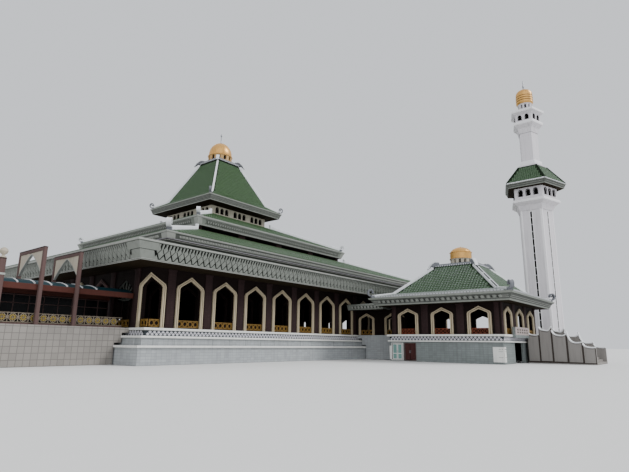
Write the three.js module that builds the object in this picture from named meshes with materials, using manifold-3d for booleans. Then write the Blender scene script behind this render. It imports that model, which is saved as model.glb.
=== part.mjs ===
// A mosque: a square prayer hall with three roof tiers, a square pavilion joined to it by a link,
// an outside stair, a five-sided minaret and a covered walkway with portal frames.
// A model at 1:10. One arcade bay (5.2 m) is 520 mm here. +Z is up, the front faces -Y.
import * as THREE from "three";
import { mergeVertices } from "three/addons/utils/BufferGeometryUtils.js";
import Module from "manifold-3d";

const wasm = await Module();
wasm.setup();

// Driving dimensions. Lengths are in bays and heights are over the prayer floor, unless named in mm.
const BAY = 520;                 // mm in one arcade bay
const GAP = 0.3 / BAY;           // clearance left where two pieces rest on each other
const GROUND = -0.725;           // lowest ground
const SHIFT_X = -7.944;          // moves the middle of the footprint to the origin
const SHIFT_Y = -6.289;
const HALL = 9.18;               // half width of the hall over the lattice fascia's bottom edge
const HALL_C = 9.18;             // the hall's middle, in X and in Y
const BAYS = 17;                 // arches along each side of the arcade
const ARCADE = 8.5;              // half width over the arcade's outer face
const INNER = 7.0;               // half width over the inner wall's outer face
const WALL = 0.1;                // thickness of the arcade walls
const SOFFIT = 1.264;            // underside of the verandah ceiling
const RAIL_TOP = 0.185;          // top of the railing in each arch
const ARCH = [[0.29, 0], [0.29, 0.86], [0.26, 0.902], [0, 1.06]];
const PAV_X = 9.034;             // the pavilion's middle
const PAV_Y = -2.66;
const PAV = 1.56;                // half width over its walls
const PAV_STEP = 1.02;           // between its arches
const PAV_SOFFIT = 0.815;
const PAV_ARCH = [[0.23, 0], [0.23, 0.53], [0.205, 0.558], [0, 0.645]];
const LINK_ARCH = [[0.22, 0], [0.22, 0.5], [0.195, 0.528], [0, 0.612]];
const LINK_HALF = 0.8;           // half width of the link over its walls
const DOOR_SILL = -0.69;
const DOOR_HEAD = -0.245;
const DOOR_THICK = 4 / BAY;      // leaf thickness, 4 mm
const DOOR_EDGE = 9.5 / BAY;     // leaf to jamb, so that the leaf turns clear
const DOOR_PIN = 1.8 / BAY;      // radius of the pin that each leaf turns on
const DOOR_MEET = 6 / BAY;       // between the two leaves
const GLASS_DOOR = [-1.46, -1.12];
const TIMBER_DOOR = [-1.86, -1.52];
const MIN_X = 12.626;            // the minaret's middle
const MIN_Y = -4.001;
const PORTALS = [-0.575, -1.24]; // middles of the tall portals along the walkway
const GATES = [-1.906, -2.56];   // middles of the lower gates at its end
const PORTAL_Y = [1.16, 2.32];   // outer faces of the portal posts
const PORTAL_TOP = 1.44;
const GATE_TOP = 1.13;

// A closed solid from a three.js geometry, with its faces pointing out.
function solid(geometry) {
  const bare = geometry.index ? geometry.toNonIndexed() : geometry.clone();
  bare.deleteAttribute("normal");
  bare.deleteAttribute("uv");
  const merged = mergeVertices(bare, 1e-5);
  const at = merged.attributes.position.array;
  const index = merged.index.array;
  const kept = [];
  let volume = 0;
  for (let i = 0; i < index.length; i += 3) {
    const [a, b, c] = [index[i], index[i + 1], index[i + 2]];
    if (a === b || b === c || c === a) continue;
    kept.push(a, b, c);
    const [ax, ay, az] = at.subarray(3 * a, 3 * a + 3);
    const [bx, by, bz] = at.subarray(3 * b, 3 * b + 3);
    const [cx, cy, cz] = at.subarray(3 * c, 3 * c + 3);
    volume += ax * (by * cz - bz * cy) + ay * (bz * cx - bx * cz) + az * (bx * cy - by * cx);
  }
  if (volume < 0) {
    for (let i = 0; i < kept.length; i += 3) {
      [kept[i + 1], kept[i + 2]] = [kept[i + 2], kept[i + 1]];
    }
  }
  return new wasm.Manifold(new wasm.Mesh({
    numProp: 3,
    vertProperties: new Float32Array(at),
    triVerts: new Uint32Array(kept),
  }));
}

const join = (list) => list.reduce((sum, next) => sum.add(next));
const cut = (body, list) => (list.length ? body.subtract(join(list)) : body);

// A block between two corners.
function block(x0, x1, y0, y1, z0, z1) {
  const shape = new THREE.BoxGeometry(x1 - x0, y1 - y0, z1 - z0);
  shape.translate((x0 + x1) / 2, (y0 + y1) / 2, (z0 + z1) / 2);
  return solid(shape);
}

// An outline drawn in two of the axes and extruded along the third.
function slab(outline, axis, from, to) {
  const shape = new THREE.Shape(outline.map(([a, b]) => new THREE.Vector2(a, b)));
  const made = new THREE.ExtrudeGeometry(shape, { depth: to - from, bevelEnabled: false });
  const [X, Y, Z] = [[1, 0, 0], [0, 1, 0], [0, 0, 1]].map((v) => new THREE.Vector3(...v));
  const turn = new THREE.Matrix4();
  if (axis === "x") {
    made.applyMatrix4(turn.makeBasis(Y, Z, X));
    made.translate(from, 0, 0);
  } else if (axis === "y") {
    made.applyMatrix4(turn.makeBasis(X, Z, Y.clone().negate()));
    made.translate(0, to, 0);
  } else {
    made.translate(0, 0, from);
  }
  return solid(made);
}

// A profile of [radius, height] points turned about the upright axis through (x, y), with the first
// corner at the angle given in degrees. A profile off the axis closes on itself.
function turned(profile, sides, first, x, y) {
  const points = profile.map(([r, z]) => new THREE.Vector2(r, z));
  if (profile[0][0] > 0 || profile[profile.length - 1][0] > 0) points.push(points[0].clone());
  const phase = ((first + 90) * Math.PI) / 180;
  const made = new THREE.LatheGeometry(points, sides, phase, Math.PI * 2);
  made.rotateX(Math.PI / 2);
  made.translate(x, y, 0);
  return solid(made);
}

// The same for a square plan, with the profile given as [half width, height].
const square = (profile, x, y) =>
  turned(profile.map(([h, z]) => [h * Math.SQRT2, z]), 4, 45, x, y);

// The pentagon plan has its corners at 0, 72, 144, 216 and 288 degrees.
const pentagon = (profile) => turned(profile, 5, 0, MIN_X, MIN_Y);

// One piece turned to the four sides of a square plan, or the five of the minaret.
function around(make, count, x, y) {
  const list = [];
  for (let i = 0; i < count; i += 1) {
    const moved = make().translate([-x, -y, 0]).rotate([0, 0, (360 / count) * i]);
    list.push(moved.translate([x, y, 0]));
  }
  return list;
}

// The outline of an arch opening about its middle, from the floor up.
function archOutline(middle, half, bottom = 0) {
  const right = half.map(([a, z], i) => [middle + a, i === 0 ? bottom : z]);
  const left = half.slice(0, -1).map(([a, z], i) => [middle - a, i === 0 ? bottom : z]);
  return [...right, ...left.reverse()];
}

// A wall outline with arch openings that reach its bottom edge. Half an arch is left out at an end
// where a middle lies on it.
function archWall(start, end, top, middles, half) {
  const line = [];
  const sorted = [...middles].sort((p, q) => p - q);
  const clip = (points) => points.filter(([a]) => a > start + 1e-6 && a < end - 1e-6);
  const height = (m, a) => {
    const off = Math.abs(a - m);
    for (let i = half.length - 1; i > 0; i -= 1) {
      const [a1, z1] = half[i - 1];
      const [a0, z0] = half[i];
      if (off <= a1 && off >= a0) return z0 + ((z1 - z0) * (off - a0)) / (a1 - a0 || 1);
    }
    return 0;
  };
  for (const m of sorted) {
    const left = half.map(([a, z]) => [m - a, z]);
    const right = half.slice(0, -1).reverse().map(([a, z]) => [m + a, z]);
    const inside = clip([...left, ...right]);
    if (m - half[0][0] < start) line.push([start, height(m, start)], ...inside);
    else if (m + half[0][0] > end) line.push(...inside, [end, height(m, end)]);
    else line.push(...inside);
  }
  if (line.length === 0 || line[0][0] > start) line.unshift([start, 0]);
  if (line[line.length - 1][0] < end) line.push([end, 0]);
  line.push([end, top], [start, top]);
  return line;
}

const root = new THREE.Group();
const place = new THREE.Matrix4()
  .makeScale(BAY, BAY, BAY)
  .multiply(new THREE.Matrix4().makeTranslation(SHIFT_X, SHIFT_Y, -GROUND));

const looks = {
  podium: [0xb4b8ba, 0.8, 0],
  wall: [0x3b2a26, 0.75, 0],
  inner: [0x5c4a41, 0.8, 0],
  soffit: [0x6b5340, 0.85, 0],
  fascia: [0x8c8f89, 0.7, 0],
  tile: [0x4d7a4c, 0.45, 0],
  white: [0xdedfe0, 0.6, 0],
  gold: [0xc99a4e, 0.35, 0.5],
  glass: [0x4c8f92, 0.15, 0],
  timber: [0x5a2a20, 0.6, 0],
  dark: [0x22282a, 0.2, 0],
  post: [0x8d6a5f, 0.7, 0],
  teal: [0x2c6f70, 0.4, 0],
};

function add(name, look, body) {
  const mesh = body.getMesh();
  const points = new Float32Array(mesh.vertProperties);
  const geometry = new THREE.BufferGeometry();
  geometry.setAttribute("position", new THREE.BufferAttribute(points, 3));
  geometry.setIndex(new THREE.BufferAttribute(new Uint32Array(mesh.triVerts), 1));
  geometry.applyMatrix4(place);
  geometry.computeVertexNormals();
  const [color, roughness, metalness] = looks[look];
  const material = new THREE.MeshStandardMaterial({ color, roughness, metalness });
  const made = new THREE.Mesh(geometry, material);
  made.name = name;
  root.add(made);
}

// Hall podium: stepped ledges outside, a floor slab on top and an open underside.
add("hall_podium", "podium", square([
  [0, 0], [8.65, 0], [8.65, -0.045], [8.62, -0.045], [8.62, -0.16], [8.8, -0.16], [8.8, -0.2],
  [8.77, -0.2], [8.77, -0.35], [8.95, -0.35], [8.95, -0.39], [8.92, -0.39], [8.92, GROUND],
  [8.7, GROUND], [8.42, -0.07], [0, -0.07],
], HALL_C, HALL_C));

// The arcade: one wall a side with an arch in each bay, and an arch folded round each corner.
// A railing panel stands in each arch.
function arcadeWall(from, to, middles) {
  const wall = slab(archWall(from, to, SOFFIT - GAP, middles, ARCH), "y", 0, WALL);
  const rails = middles.map((m) => {
    const a = Math.max(m - 0.3, from);
    const b = Math.min(m + 0.3, to);
    return block(a, b, 0.035, 0.065, 0, RAIL_TOP);
  });
  return join([wall, ...rails]);
}
const every = Array.from({ length: BAYS + 1 }, (_, i) => i);
const long = arcadeWall(0, BAYS, every);
const trimmed = long.subtract(join([
  block(-1, 0.035, -1, 0.2, -0.1, RAIL_TOP + 0.01),
  block(BAYS - 0.035, BAYS + 1, -1, 0.2, -0.1, RAIL_TOP + 0.01),
]));
const railFrom = 0.065 + GAP;
const railTo = BAYS - 0.065 - GAP;
const short = join([
  slab(archWall(WALL + GAP, BAYS - WALL - GAP, SOFFIT - GAP, every, ARCH), "y", 0, WALL),
  ...every.map((m) => block(
    Math.max(m - 0.3, railFrom), Math.min(m + 0.3, railTo), 0.035, 0.065, 0, RAIL_TOP)),
]);
const lift = GAP;
const corner = HALL_C - ARCADE;
const front = trimmed.translate([corner, corner, lift]);
const leftWall = short.mirror([1, -1, 0]).translate([corner, corner, lift]);
const spin = (body, degrees) =>
  body.translate([-HALL_C, -HALL_C, 0]).rotate([0, 0, degrees]).translate([HALL_C, HALL_C, 0]);
add("arcade_front", "wall", front);
add("arcade_back", "wall", spin(front, 180));
add("arcade_left", "wall", leftWall);
add("arcade_right", "wall", spin(leftWall, 180));

// Inner wall behind the verandah, with an arch in line with each arcade bay.
const innerMiddles = Array.from({ length: 2 * INNER }, (_, i) => i + 0.5);
const innerSide = () =>
  slab(archWall(0, 2 * INNER, SOFFIT - GAP, innerMiddles, ARCH), "y", 0, 0.08)
    .translate([HALL_C - INNER, HALL_C - INNER, GAP]);
add("hall_inner_walls", "inner", join(around(innerSide, 4, HALL_C, HALL_C)));

// Verandah ceiling and the flat deck over it.
const fasciaBack = (z) => 9.112 + ((z - 1.258) * 0.188) / 0.377;
const deckEdge = fasciaBack(1.52) - 1.2 * GAP;
add("verandah_deck", "soffit", square([
  [6.9, SOFFIT], [9.1, SOFFIT], [9.1, 1.3], [7.09, 1.3], [7.09, 1.52], [deckEdge, 1.52],
  [deckEdge, 1.56], [6.9, 1.56],
], HALL_C, HALL_C));
add("lattice_fascia", "fascia", square([
  [9.112, 1.258], [HALL, 1.258], [HALL + 0.012, 1.29], [HALL + 0.176, 1.6],
  [HALL + 0.188, 1.635], [9.3, 1.635],
], HALL_C, HALL_C));

// A curl finial on a post and the ridge bar behind it, drawn in the upright plane along a hip.
// Distances run out from the middle along the diagonal.
function hipBars(hip, wide, corners, x, y) {
  const bar = () => slab(hip, "y", -wide / 2, wide / 2).rotate([0, 0, 45]).translate([x, y, 0]);
  return around(bar, corners, x, y);
}
// The outline of a hip: up the roof from the eave tip, with a curl that turns back over itself, and a
// knob of the given height where the bar ends against a wall.
function hipOutline(points, thick, curl, knob = 0) {
  const [d0, z0] = points[0];
  const [dEnd, zEnd] = points[points.length - 1];
  const under = points.map(([d, z]) => [d, z - thick]);
  const over = points.map(([d, z]) => [d, z + thick]);
  if (knob > 0) {
    over.pop();
    over.push([dEnd + 0.14, zEnd + thick - 0.02]);
    over.push([dEnd + 0.12, zEnd + thick + knob]);
    over.push([dEnd, zEnd + thick + knob]);
  }
  const curled = [
    [0.5, 0.12], [0.72, 0.5], [0.66, 0.95], [0.3, 1.2], [-0.05, 1.05], [0.02, 0.86], [0.3, 0.94],
    [0.44, 0.72], [0.36, 0.42],
  ].map(([d, z]) => [d0 + d * curl, z0 + z * curl]);
  return [
    ...under.slice(1).reverse(), [d0 + 0.02 * curl, z0 - thick], ...curled,
    [d0 - 0.1 * curl, z0 + thick + 0.02 * curl], ...over.slice(1),
  ];
}

const R2 = Math.SQRT2;
// Lowest tier: a low wall on the deck, a fascia and a tiled slope up to the second tier.
add("tier1_wall", "inner", square([
  [6.97, 1.56 + GAP], [7.05, 1.56 + GAP], [7.05, 2.12 - GAP], [6.97, 2.12 - GAP],
], HALL_C, HALL_C));
const T2 = 4.1;
const hip1 = hipOutline([[7.5 * R2, 2.45], [4.27 * R2, 3.547]], 0.055, 0.22, 0.05);
add("tier1_roof", "tile", join([
  square([
    [6.9, 2.12], [7.6, 2.12], [7.68, 2.33], [7.63, 2.36], [T2 + GAP, 3.56],
    [T2 + GAP, 3.49], [7.52, 2.32], [7.5, 2.18], [6.9, 2.18],
  ], HALL_C, HALL_C),
  ...hipBars(hip1, 0.12, 4, HALL_C, HALL_C),
]));

// Second tier: a wall with four wide louvred windows a side, a fascia and a tiled slope up to the third.
const louvres = [-3.075, -1.025, 1.025, 3.075];
const louvreCuts = () => join(louvres.map((a) => block(
  HALL_C + a - 0.86, HALL_C + a + 0.86, HALL_C - T2 - 0.1, HALL_C - T2 + 0.2, 3.575, 3.672)));
add("tier2_wall", "inner", cut(
  square([[T2 - 0.08, 3.2], [T2, 3.2], [T2, 3.69 - GAP], [T2 - 0.08, 3.69 - GAP]], HALL_C, HALL_C),
  around(louvreCuts, 4, HALL_C, HALL_C),
));
const T3 = 1.6;
const hip2 = hipOutline([[4.2 * R2, 4.1], [1.75 * R2, 5.1]], 0.07, 0.2, 0.07);
add("tier2_roof", "tile", join([
  square([
    [3.95, 3.69], [4.22, 3.69], [4.34, 3.98], [4.28, 4.02], [T3 + GAP, 5.1],
    [T3 + GAP, 5.03], [4.17, 3.97], [4.12, 3.75], [3.95, 3.75],
  ], HALL_C, HALL_C),
  ...hipBars(hip2, 0.12, 4, HALL_C, HALL_C),
]));

// Top tier: a white wall with arched windows in threes, and a bell-cast roof cut off square.
const threes = [-1.29, -1.025, -0.76, -0.265, 0, 0.265, 0.76, 1.025, 1.29];
const windowArch = (w, top, rise) =>
  [[w, 0], [w, top - rise], [w * 0.6, top - rise * 0.3], [0, top]];
const threeCuts = () => join(threes.map((a) => slab(
  archOutline(HALL_C + a, windowArch(0.08, 5.415, 0.09), 5.15),
  "y", HALL_C - T3 - 0.1, HALL_C - T3 + 0.2)));
add("tier3_wall", "white", cut(
  square([[T3 - 0.08, 4.9], [T3, 4.9], [T3, 5.47 - GAP], [T3 - 0.08, 5.47 - GAP]], HALL_C, HALL_C),
  around(threeCuts, 4, HALL_C, HALL_C),
));
const hip3 = hipOutline([[2.09 * R2, 5.82], [1.615 * R2, 6.12], [0.7 * R2, 7.96]], 0.04, 0.2);
add("tier3_roof", "tile", join([
  square([
    [1.5, 5.47], [1.62, 5.47], [2.09, 5.515], [2.18, 5.76], [2.12, 5.79], [1.615, 6.1], [0.64, 8.07],
    [0.56, 8.07], [1.56, 6.03], [2.03, 5.74], [2.0, 5.57], [1.62, 5.53], [1.5, 5.53],
  ], HALL_C, HALL_C),
  ...hipBars(hip3, 0.1, 4, HALL_C, HALL_C),
]));

// The cut-off top: a ridge plate with a horn that droops down the hip from each corner, then a drum,
// a dome and a spire.
function crown(half, z, thick, horn) {
  const ridge = square([[0, z], [half, z], [half, z + thick], [0, z + thick]], 0, 0);
  const shape = [
    [-0.72, 0.024], [-0.016, 0.024], [0.186, 0.071], [0.448, -0.167], [0.663, -0.31], [0.353, 0.226],
    [-0.147, 0.62], [-0.67, 0.56], [-0.766, 0.2],
  ].map(([d, up]) => [half * R2 + d * horn, z + up * horn]);
  const one = () => slab(shape, "y", -0.16 * horn, 0.16 * horn).rotate([0, 0, 45]);
  return join([ridge, ...around(one, 4, 0, 0)]);
}
add("tier3_crown", "fascia", crown(0.68, 8.07 + GAP, 0.1, 0.42).translate([HALL_C, HALL_C, 0]));
function drum(x, y, r, z0, z1, count, sides) {
  const shell = turned([[r - 0.05, z0], [r, z0], [r, z1], [r - 0.05, z1]], sides, 0, x, y);
  const w = (Math.PI * r) / count / 1.9;
  const holes = [];
  for (let i = 0; i < count; i += 1) {
    const one = block(r - 0.2, r + 0.2, -w, w, z0 + 0.28 * (z1 - z0), z1 - 0.14 * (z1 - z0));
    holes.push(one.rotate([0, 0, (360 / count) * (i + 0.5)]).translate([x, y, 0]));
  }
  return cut(shell, holes);
}
const D0 = 8.5 + GAP;
add("hall_drum", "white", drum(HALL_C, HALL_C, 0.55, 8.17 + 2 * GAP, 8.5, 12, 12));
const domeProfile = (r, z, h) => [
  [0, z], [r * 0.98, z], [r, z + 0.1 * h], [r * 0.985, z + 0.28 * h], [r * 0.9, z + 0.5 * h],
  [r * 0.74, z + 0.69 * h], [r * 0.5, z + 0.86 * h], [r * 0.2, z + 0.97 * h],
];
add("hall_dome", "gold", turned([
  ...domeProfile(0.56, D0, 0.73), [0.035, D0 + 0.74], [0.016, D0 + 0.8], [0.015, D0 + 1.08],
  [0.04, D0 + 1.11], [0.04, D0 + 1.16], [0.014, D0 + 1.19], [0, D0 + 1.25],
], 24, 0, HALL_C, HALL_C));

// Pavilion podium: hollow, with two doorways in its left side and a passage under the stair landing.
const PX = PAV_X - 1.6;
const doorway = ([y0, y1]) => block(PX - 0.2, PX + 0.3, y0, y1, DOOR_SILL, DOOR_HEAD);
add("pavilion_podium", "podium", cut(square([
  [0, 0], [1.66, 0], [1.66, -0.045], [1.6, -0.045], [1.6, -0.16], [1.64, -0.16], [1.64, -0.19],
  [1.6, -0.19], [1.6, GROUND], [1.53, GROUND], [1.53, -0.06], [0, -0.06],
], PAV_X, PAV_Y), [
  doorway(GLASS_DOOR), doorway(TIMBER_DOOR),
  block(8.32, 9.1, PAV_Y - 1.8, PAV_Y - 1.4, GROUND - 0.1, -0.08),
]));

// Pavilion walls: three arches a side, each with a railing panel.
function pavilionWall(from, to) {
  const middles = [-PAV_STEP, 0, PAV_STEP];
  const wall = slab(archWall(from, to, PAV_SOFFIT - GAP, middles, PAV_ARCH), "y", 0, 0.08);
  const rails = middles.map((m) => block(m - 0.24, m + 0.24, 0.03, 0.05, 0, 0.165));
  return join([wall, ...rails]).translate([0, -PAV, GAP]);
}
const pavLong = pavilionWall(-PAV, PAV);
const pavShort = pavilionWall(-PAV + 0.08 + GAP, PAV - 0.08 - GAP);
const atPavilion = (body, turn) => body.rotate([0, 0, turn]).translate([PAV_X, PAV_Y, 0]);
add("pavilion_wall_front", "wall", atPavilion(pavLong, 0));
add("pavilion_wall_back", "wall", atPavilion(pavLong, 180));
add("pavilion_wall_left", "wall", atPavilion(pavShort, -90));
add("pavilion_wall_right", "wall", atPavilion(pavShort, 90));
const hipP = hipOutline([[1.96 * R2, 1.09], [1.52 * R2, 1.165], [0.66 * R2, 1.945]], 0.028, 0.215);
add("pavilion_roof", "tile", join([
  square([
    [1.46, PAV_SOFFIT], [1.92, PAV_SOFFIT], [2.05, 1.03], [1.99, 1.05], [1.52, 1.15], [0.6, 2.0],
    [0.52, 2.0], [1.46, 1.09], [1.93, 0.99], [1.87, 0.86], [1.46, 0.86],
  ], PAV_X, PAV_Y),
  ...hipBars(hipP, 0.1, 4, PAV_X, PAV_Y),
]));
add("pavilion_crown", "fascia", crown(0.63, 2.0 + GAP, 0.07, 0.26).translate([PAV_X, PAV_Y, 0]));
add("pavilion_drum", "white", drum(PAV_X, PAV_Y, 0.3, 2.07 + 2 * GAP, 2.27, 12, 12));
const P0 = 2.27 + GAP;
add("pavilion_dome", "gold", turned([
  [0, P0], [0.315, P0], [0.32, P0 + 0.02], [0.32, P0 + 0.2], [0.3, P0 + 0.235], [0.22, P0 + 0.3],
  [0.1, P0 + 0.355], [0.03, P0 + 0.37], [0, P0 + 0.4],
], 24, 0, PAV_X, PAV_Y));

// Door leaves in the podium: each stands in its doorway, flush outside, and turns on an upright pin in
// its jamb edge. The pin stands on the doorway's sill and reaches up to its head.
function leaf(y0, y1, pinY) {
  const panel = block(PX, PX + DOOR_THICK, y0, y1, DOOR_SILL + 5 / BAY, DOOR_HEAD - 5 / BAY);
  const pin = turned([
    [0, DOOR_SILL + GAP], [DOOR_PIN, DOOR_SILL + GAP], [DOOR_PIN, DOOR_HEAD - GAP], [0, DOOR_HEAD - GAP],
  ], 8, 22.5, PX + DOOR_THICK / 2, pinY);
  return join([panel, pin]);
}
function leaves([y0, y1]) {
  const middle = (y0 + y1) / 2;
  const near = y0 + DOOR_EDGE;
  const far = y1 - DOOR_EDGE;
  return [
    leaf(near, middle - DOOR_MEET / 2, near + DOOR_THICK / 2),
    leaf(middle + DOOR_MEET / 2, far, far - DOOR_THICK / 2),
  ];
}
const [glassA, glassB] = leaves(GLASS_DOOR);
add("glass_door_near", "glass", glassA);
add("glass_door_far", "glass", glassB);
const [timberA, timberB] = leaves(TIMBER_DOOR);
add("timber_door_near", "timber", timberA);
add("timber_door_far", "timber", timberB);

// Link between the pavilion and the hall's arcade.
const L0 = PAV_X - LINK_HALF;
const L1 = PAV_X + LINK_HALF;
const linkFrom = PAV_Y + 1.66 + GAP;
const ledges = [
  [0.53 - GAP, 0], [0.53 - GAP, -0.1], [0.38 - GAP, -0.1], [0.38 - GAP, -0.3], [0.23 - GAP, -0.3],
  [0.23 - GAP, GROUND],
];
const linkBase = slab([[linkFrom, 0], ...ledges, [linkFrom, GROUND]], "x", L0 - 0.08, L1 + 0.08);
add("link_podium", "podium", linkBase.subtract(
  block(L0 + 0.02, L1 - 0.02, linkFrom + 0.1, 0.1, GROUND - 0.1, -0.12)));
const linkEnd = corner - GAP;
const linkStart = PAV_Y + PAV + GAP;
function linkWall(x) {
  const middles = [-0.72, 0.24];
  const wall = slab(archWall(linkStart, linkEnd, 0.775 - GAP, middles, LINK_ARCH), "x", x, x + 0.08);
  const rails = middles.map((m) => block(x + 0.03, x + 0.05, m - 0.23, m + 0.23, 0, 0.165));
  return join([wall, ...rails]).translate([0, 0, GAP]);
}
add("link_wall_left", "wall", linkWall(L0));
add("link_wall_right", "wall", linkWall(L1 - 0.08));
const eave = L0 - 0.42;
const eaveFar = 2 * PAV_X - eave;
add("link_roof", "fascia", slab([
  [eave, 0.775], [eaveFar, 0.775], [eaveFar + 0.07, 0.93], [eaveFar + 0.01, 0.96],
  [PAV_X, 1.0], [eave - 0.01, 0.96], [eave - 0.07, 0.93],
], "y", PAV_Y + 2.05 + GAP, linkEnd));

// Stair on the pavilion's front: a landing, a flight of steps and two stepped parapets.
const SX = [9.2, 10.8];
const stairTop = PAV_Y - 1.66 - GAP;
const landingEdge = -4.33;
add("stair_landing", "podium", join([
  block(8.0, SX[1] - 0.08 - GAP, landingEdge - 0.07, stairTop, -0.07, 0),
  block(8.0, SX[0] - GAP, landingEdge - 0.07, landingEdge - 0.02, -0.05, 0.2),
  block(SX[0] + 0.08 + GAP, SX[1] - 0.08 - GAP, -4.966, stairTop - 0.02, -0.07, 0),
  block(8.0, 8.06, landingEdge - 0.07, stairTop, -0.05, 0.2),
  block(SX[0] + 0.08 + GAP, SX[1] - 0.08 - GAP, -4.966, -4.9, GROUND, -0.02),
]).subtract(block(SX[0] - GAP, SX[0] + 0.08 + GAP, -6, -4.34, -1, 1)));
// Each block of a parapet has a hollowed top: its ends in Y, then heights at its left end, along its
// low part and at its right end.
const PARAPET = [
  [-4.34 - GAP, -4.65, 0.095, 0.006, 0.03], [-4.65, -4.966, 0.22, 0.125, 0.23],
  [-4.966, -5.32, 0.124, -0.01, 0.03], [-5.32, -5.68, 0.11, -0.19, -0.17],
  [-5.68, -5.97, -0.21, -0.31, -0.3],
];
const parapet = [];
for (const [y0, y1, left, low, right] of PARAPET) {
  const at = (t) => y0 + (y1 - y0) * t;
  parapet.push([y0, left], [at(0.15), low + 0.35 * (left - low)], [at(0.4), low + 0.01]);
  parapet.push([at(0.75), low], [y1, right]);
}
parapet.push([PARAPET[4][1], GROUND], [PARAPET[0][0], GROUND]);
add("stair_parapet_left", "podium", slab(parapet, "x", SX[0], SX[0] + 0.08));
add("stair_parapet_right", "podium", slab(parapet, "x", SX[1] - 0.08, SX[1]));
const STEPS = 12;
const stepLine = [[-4.966 - GAP, GROUND]];
for (let i = 0; i < STEPS; i += 1) {
  const z = ((i + 1) * GROUND) / (STEPS + 1);
  stepLine.push([-4.966 - GAP - (i * 1.0) / STEPS, z], [-4.966 - GAP - ((i + 1) * 1.0) / STEPS, z]);
}
stepLine.push([-5.966 - GAP, GROUND]);
add("stair_flight", "podium", slab(stepLine, "x", SX[0] + 0.08 + GAP, SX[1] - 0.08 - GAP));

// Minaret: a five-sided shaft with a slot in each face, two galleries, a roof, a drum and a cap.
const face = (make) =>
  around(() => make().rotate([0, 0, 36]).translate([MIN_X, MIN_Y, 0]), 5, MIN_X, MIN_Y);
add("minaret_shaft", "white", cut(
  pentagon([[0.54, GROUND], [0.59, GROUND], [0.59, 4.32], [0.54, 4.32]]),
  face(() => block(0.3, 0.7, -0.028, 0.028, 0.1, 4.26)),
));
add("minaret_gallery", "white", cut(
  pentagon([
    [0.5, 4.32 + GAP], [0.6, 4.32 + GAP], [0.68, 4.5], [0.84, 4.6], [0.84, 4.68], [0.77, 4.7],
    [0.77, 5.11 - GAP], [0.71, 5.11 - GAP], [0.71, 4.68], [0.5, 4.5],
  ]),
  face(() => join([-0.25, 0, 0.25].map((a) =>
    slab(archOutline(a, windowArch(0.06, 5.04, 0.07), 4.8), "x", 0.45, 0.8)))),
));
add("minaret_roof", "tile", pentagon([
  [0.7, 5.11], [1.02, 5.11], [1.1, 5.27], [1.05, 5.31], [0.5, 5.96], [0.43, 5.96], [0.96, 5.28],
  [0.94, 5.16], [0.7, 5.16],
]));
add("minaret_upper_shaft", "white", pentagon([
  [0.28, 5.96 + GAP], [0.5, 5.96 + GAP], [0.5, 6.0], [0.37, 6.0], [0.37, 6.18], [0.335, 6.2],
  [0.335, 7.27], [0.28, 7.27],
]));
add("minaret_upper_gallery", "white", cut(
  pentagon([
    [0.26, 7.27 + GAP], [0.35, 7.27 + GAP], [0.4, 7.45], [0.53, 7.58], [0.53, 7.68], [0.47, 7.7],
    [0.47, 7.95], [0.58, 8.03], [0.6, 8.13], [0.42, 8.2], [0, 8.2], [0, 8.12], [0.42, 8.05],
    [0.42, 7.68], [0.26, 7.45],
  ]),
  face(() => join([-0.12, 0.12].map((a) =>
    slab(archOutline(a, windowArch(0.05, 7.93, 0.05), 7.74), "x", 0.25, 0.6)))),
));
add("minaret_drum", "white", drum(MIN_X, MIN_Y, 0.225, 8.2 + GAP, 8.46, 10, 10));
const C0 = 8.46 + GAP;
add("minaret_cap", "gold", turned([
  [0, C0], [0.26, C0], [0.295, C0 + 0.05], [0.295, C0 + 0.31], [0.275, C0 + 0.42], [0.215, C0 + 0.53],
  [0.12, C0 + 0.6], [0.03, C0 + 0.64], [0.02, C0 + 0.75], [0.012, C0 + 1.0], [0, C0 + 1.02],
], 20, 0, MIN_X, MIN_Y));

// Covered walkway from the left: a base, portal frames on two long beams, a vaulted canopy,
// a glazed wall behind and a star fence in front. The last two frames are lower gates.
const baseEnd = corner - 0.15 - GAP;
const [Y0, Y1] = PORTAL_Y;
const baseLine = [[-2.66, GROUND], ...ledges.slice(2).reverse(), [baseEnd, -0.1], [baseEnd, 0], [-2.66, 0]];
add("walkway_base", "podium", slab(baseLine, "y", Y0 - 0.07, Y1 + 0.07)
  .subtract(block(-2.5, 0.1, Y0 + 0.09, Y1 - 0.09, GROUND - 0.1, -0.1)));
function portal(x, half, top, rise) {
  const post = 0.07;
  const lintel = 0.075;
  const frame = [
    block(x - half, x + half, Y0, Y0 + post, GAP, top),
    block(x - half, x + half, Y1 - post, Y1, GAP, top),
    block(x - half, x + half, Y0, Y1, top - lintel, top),
  ];
  const middle = (Y0 + Y1) / 2;
  const spring = top - 0.095 - rise;
  const side = (s) => {
    const edge = s < 0 ? Y0 + post - 0.01 : Y1 - post + 0.01;
    const curve = [];
    for (let i = 0; i <= 6; i += 1) {
      const t = i / 6;
      curve.push([edge + (middle - edge) * t, spring + (rise * Math.sin(1.1 * t)) / Math.sin(1.1)]);
    }
    return slab([[edge, top - 0.05], ...curve, [middle, top - 0.05]], "x", x - 0.02, x + 0.02);
  };
  return join([...frame, side(-1), side(1)]);
}
const beamFrom = -2.62;
const beamTo = corner - 0.05;
const NEAR_BEAM = [1.215, 1.3];
const FAR_BEAM = [2.19, 2.265];
add("walkway_portals", "post", join([
  ...PORTALS.map((x) => portal(x, 0.033, PORTAL_TOP, 0.385)),
  ...GATES.map((x) => portal(x, 0.053, GATE_TOP, 0.175)),
  block(beamFrom, beamTo, ...NEAR_BEAM, 0.62, 0.73),
  block(beamFrom, beamTo, ...FAR_BEAM, 0.62, 0.73),
]));
const vaultOuter = [];
const vaultInner = [];
const VAULT_Y = 1.74;
const VAULT_RISE = 0.1;
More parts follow.
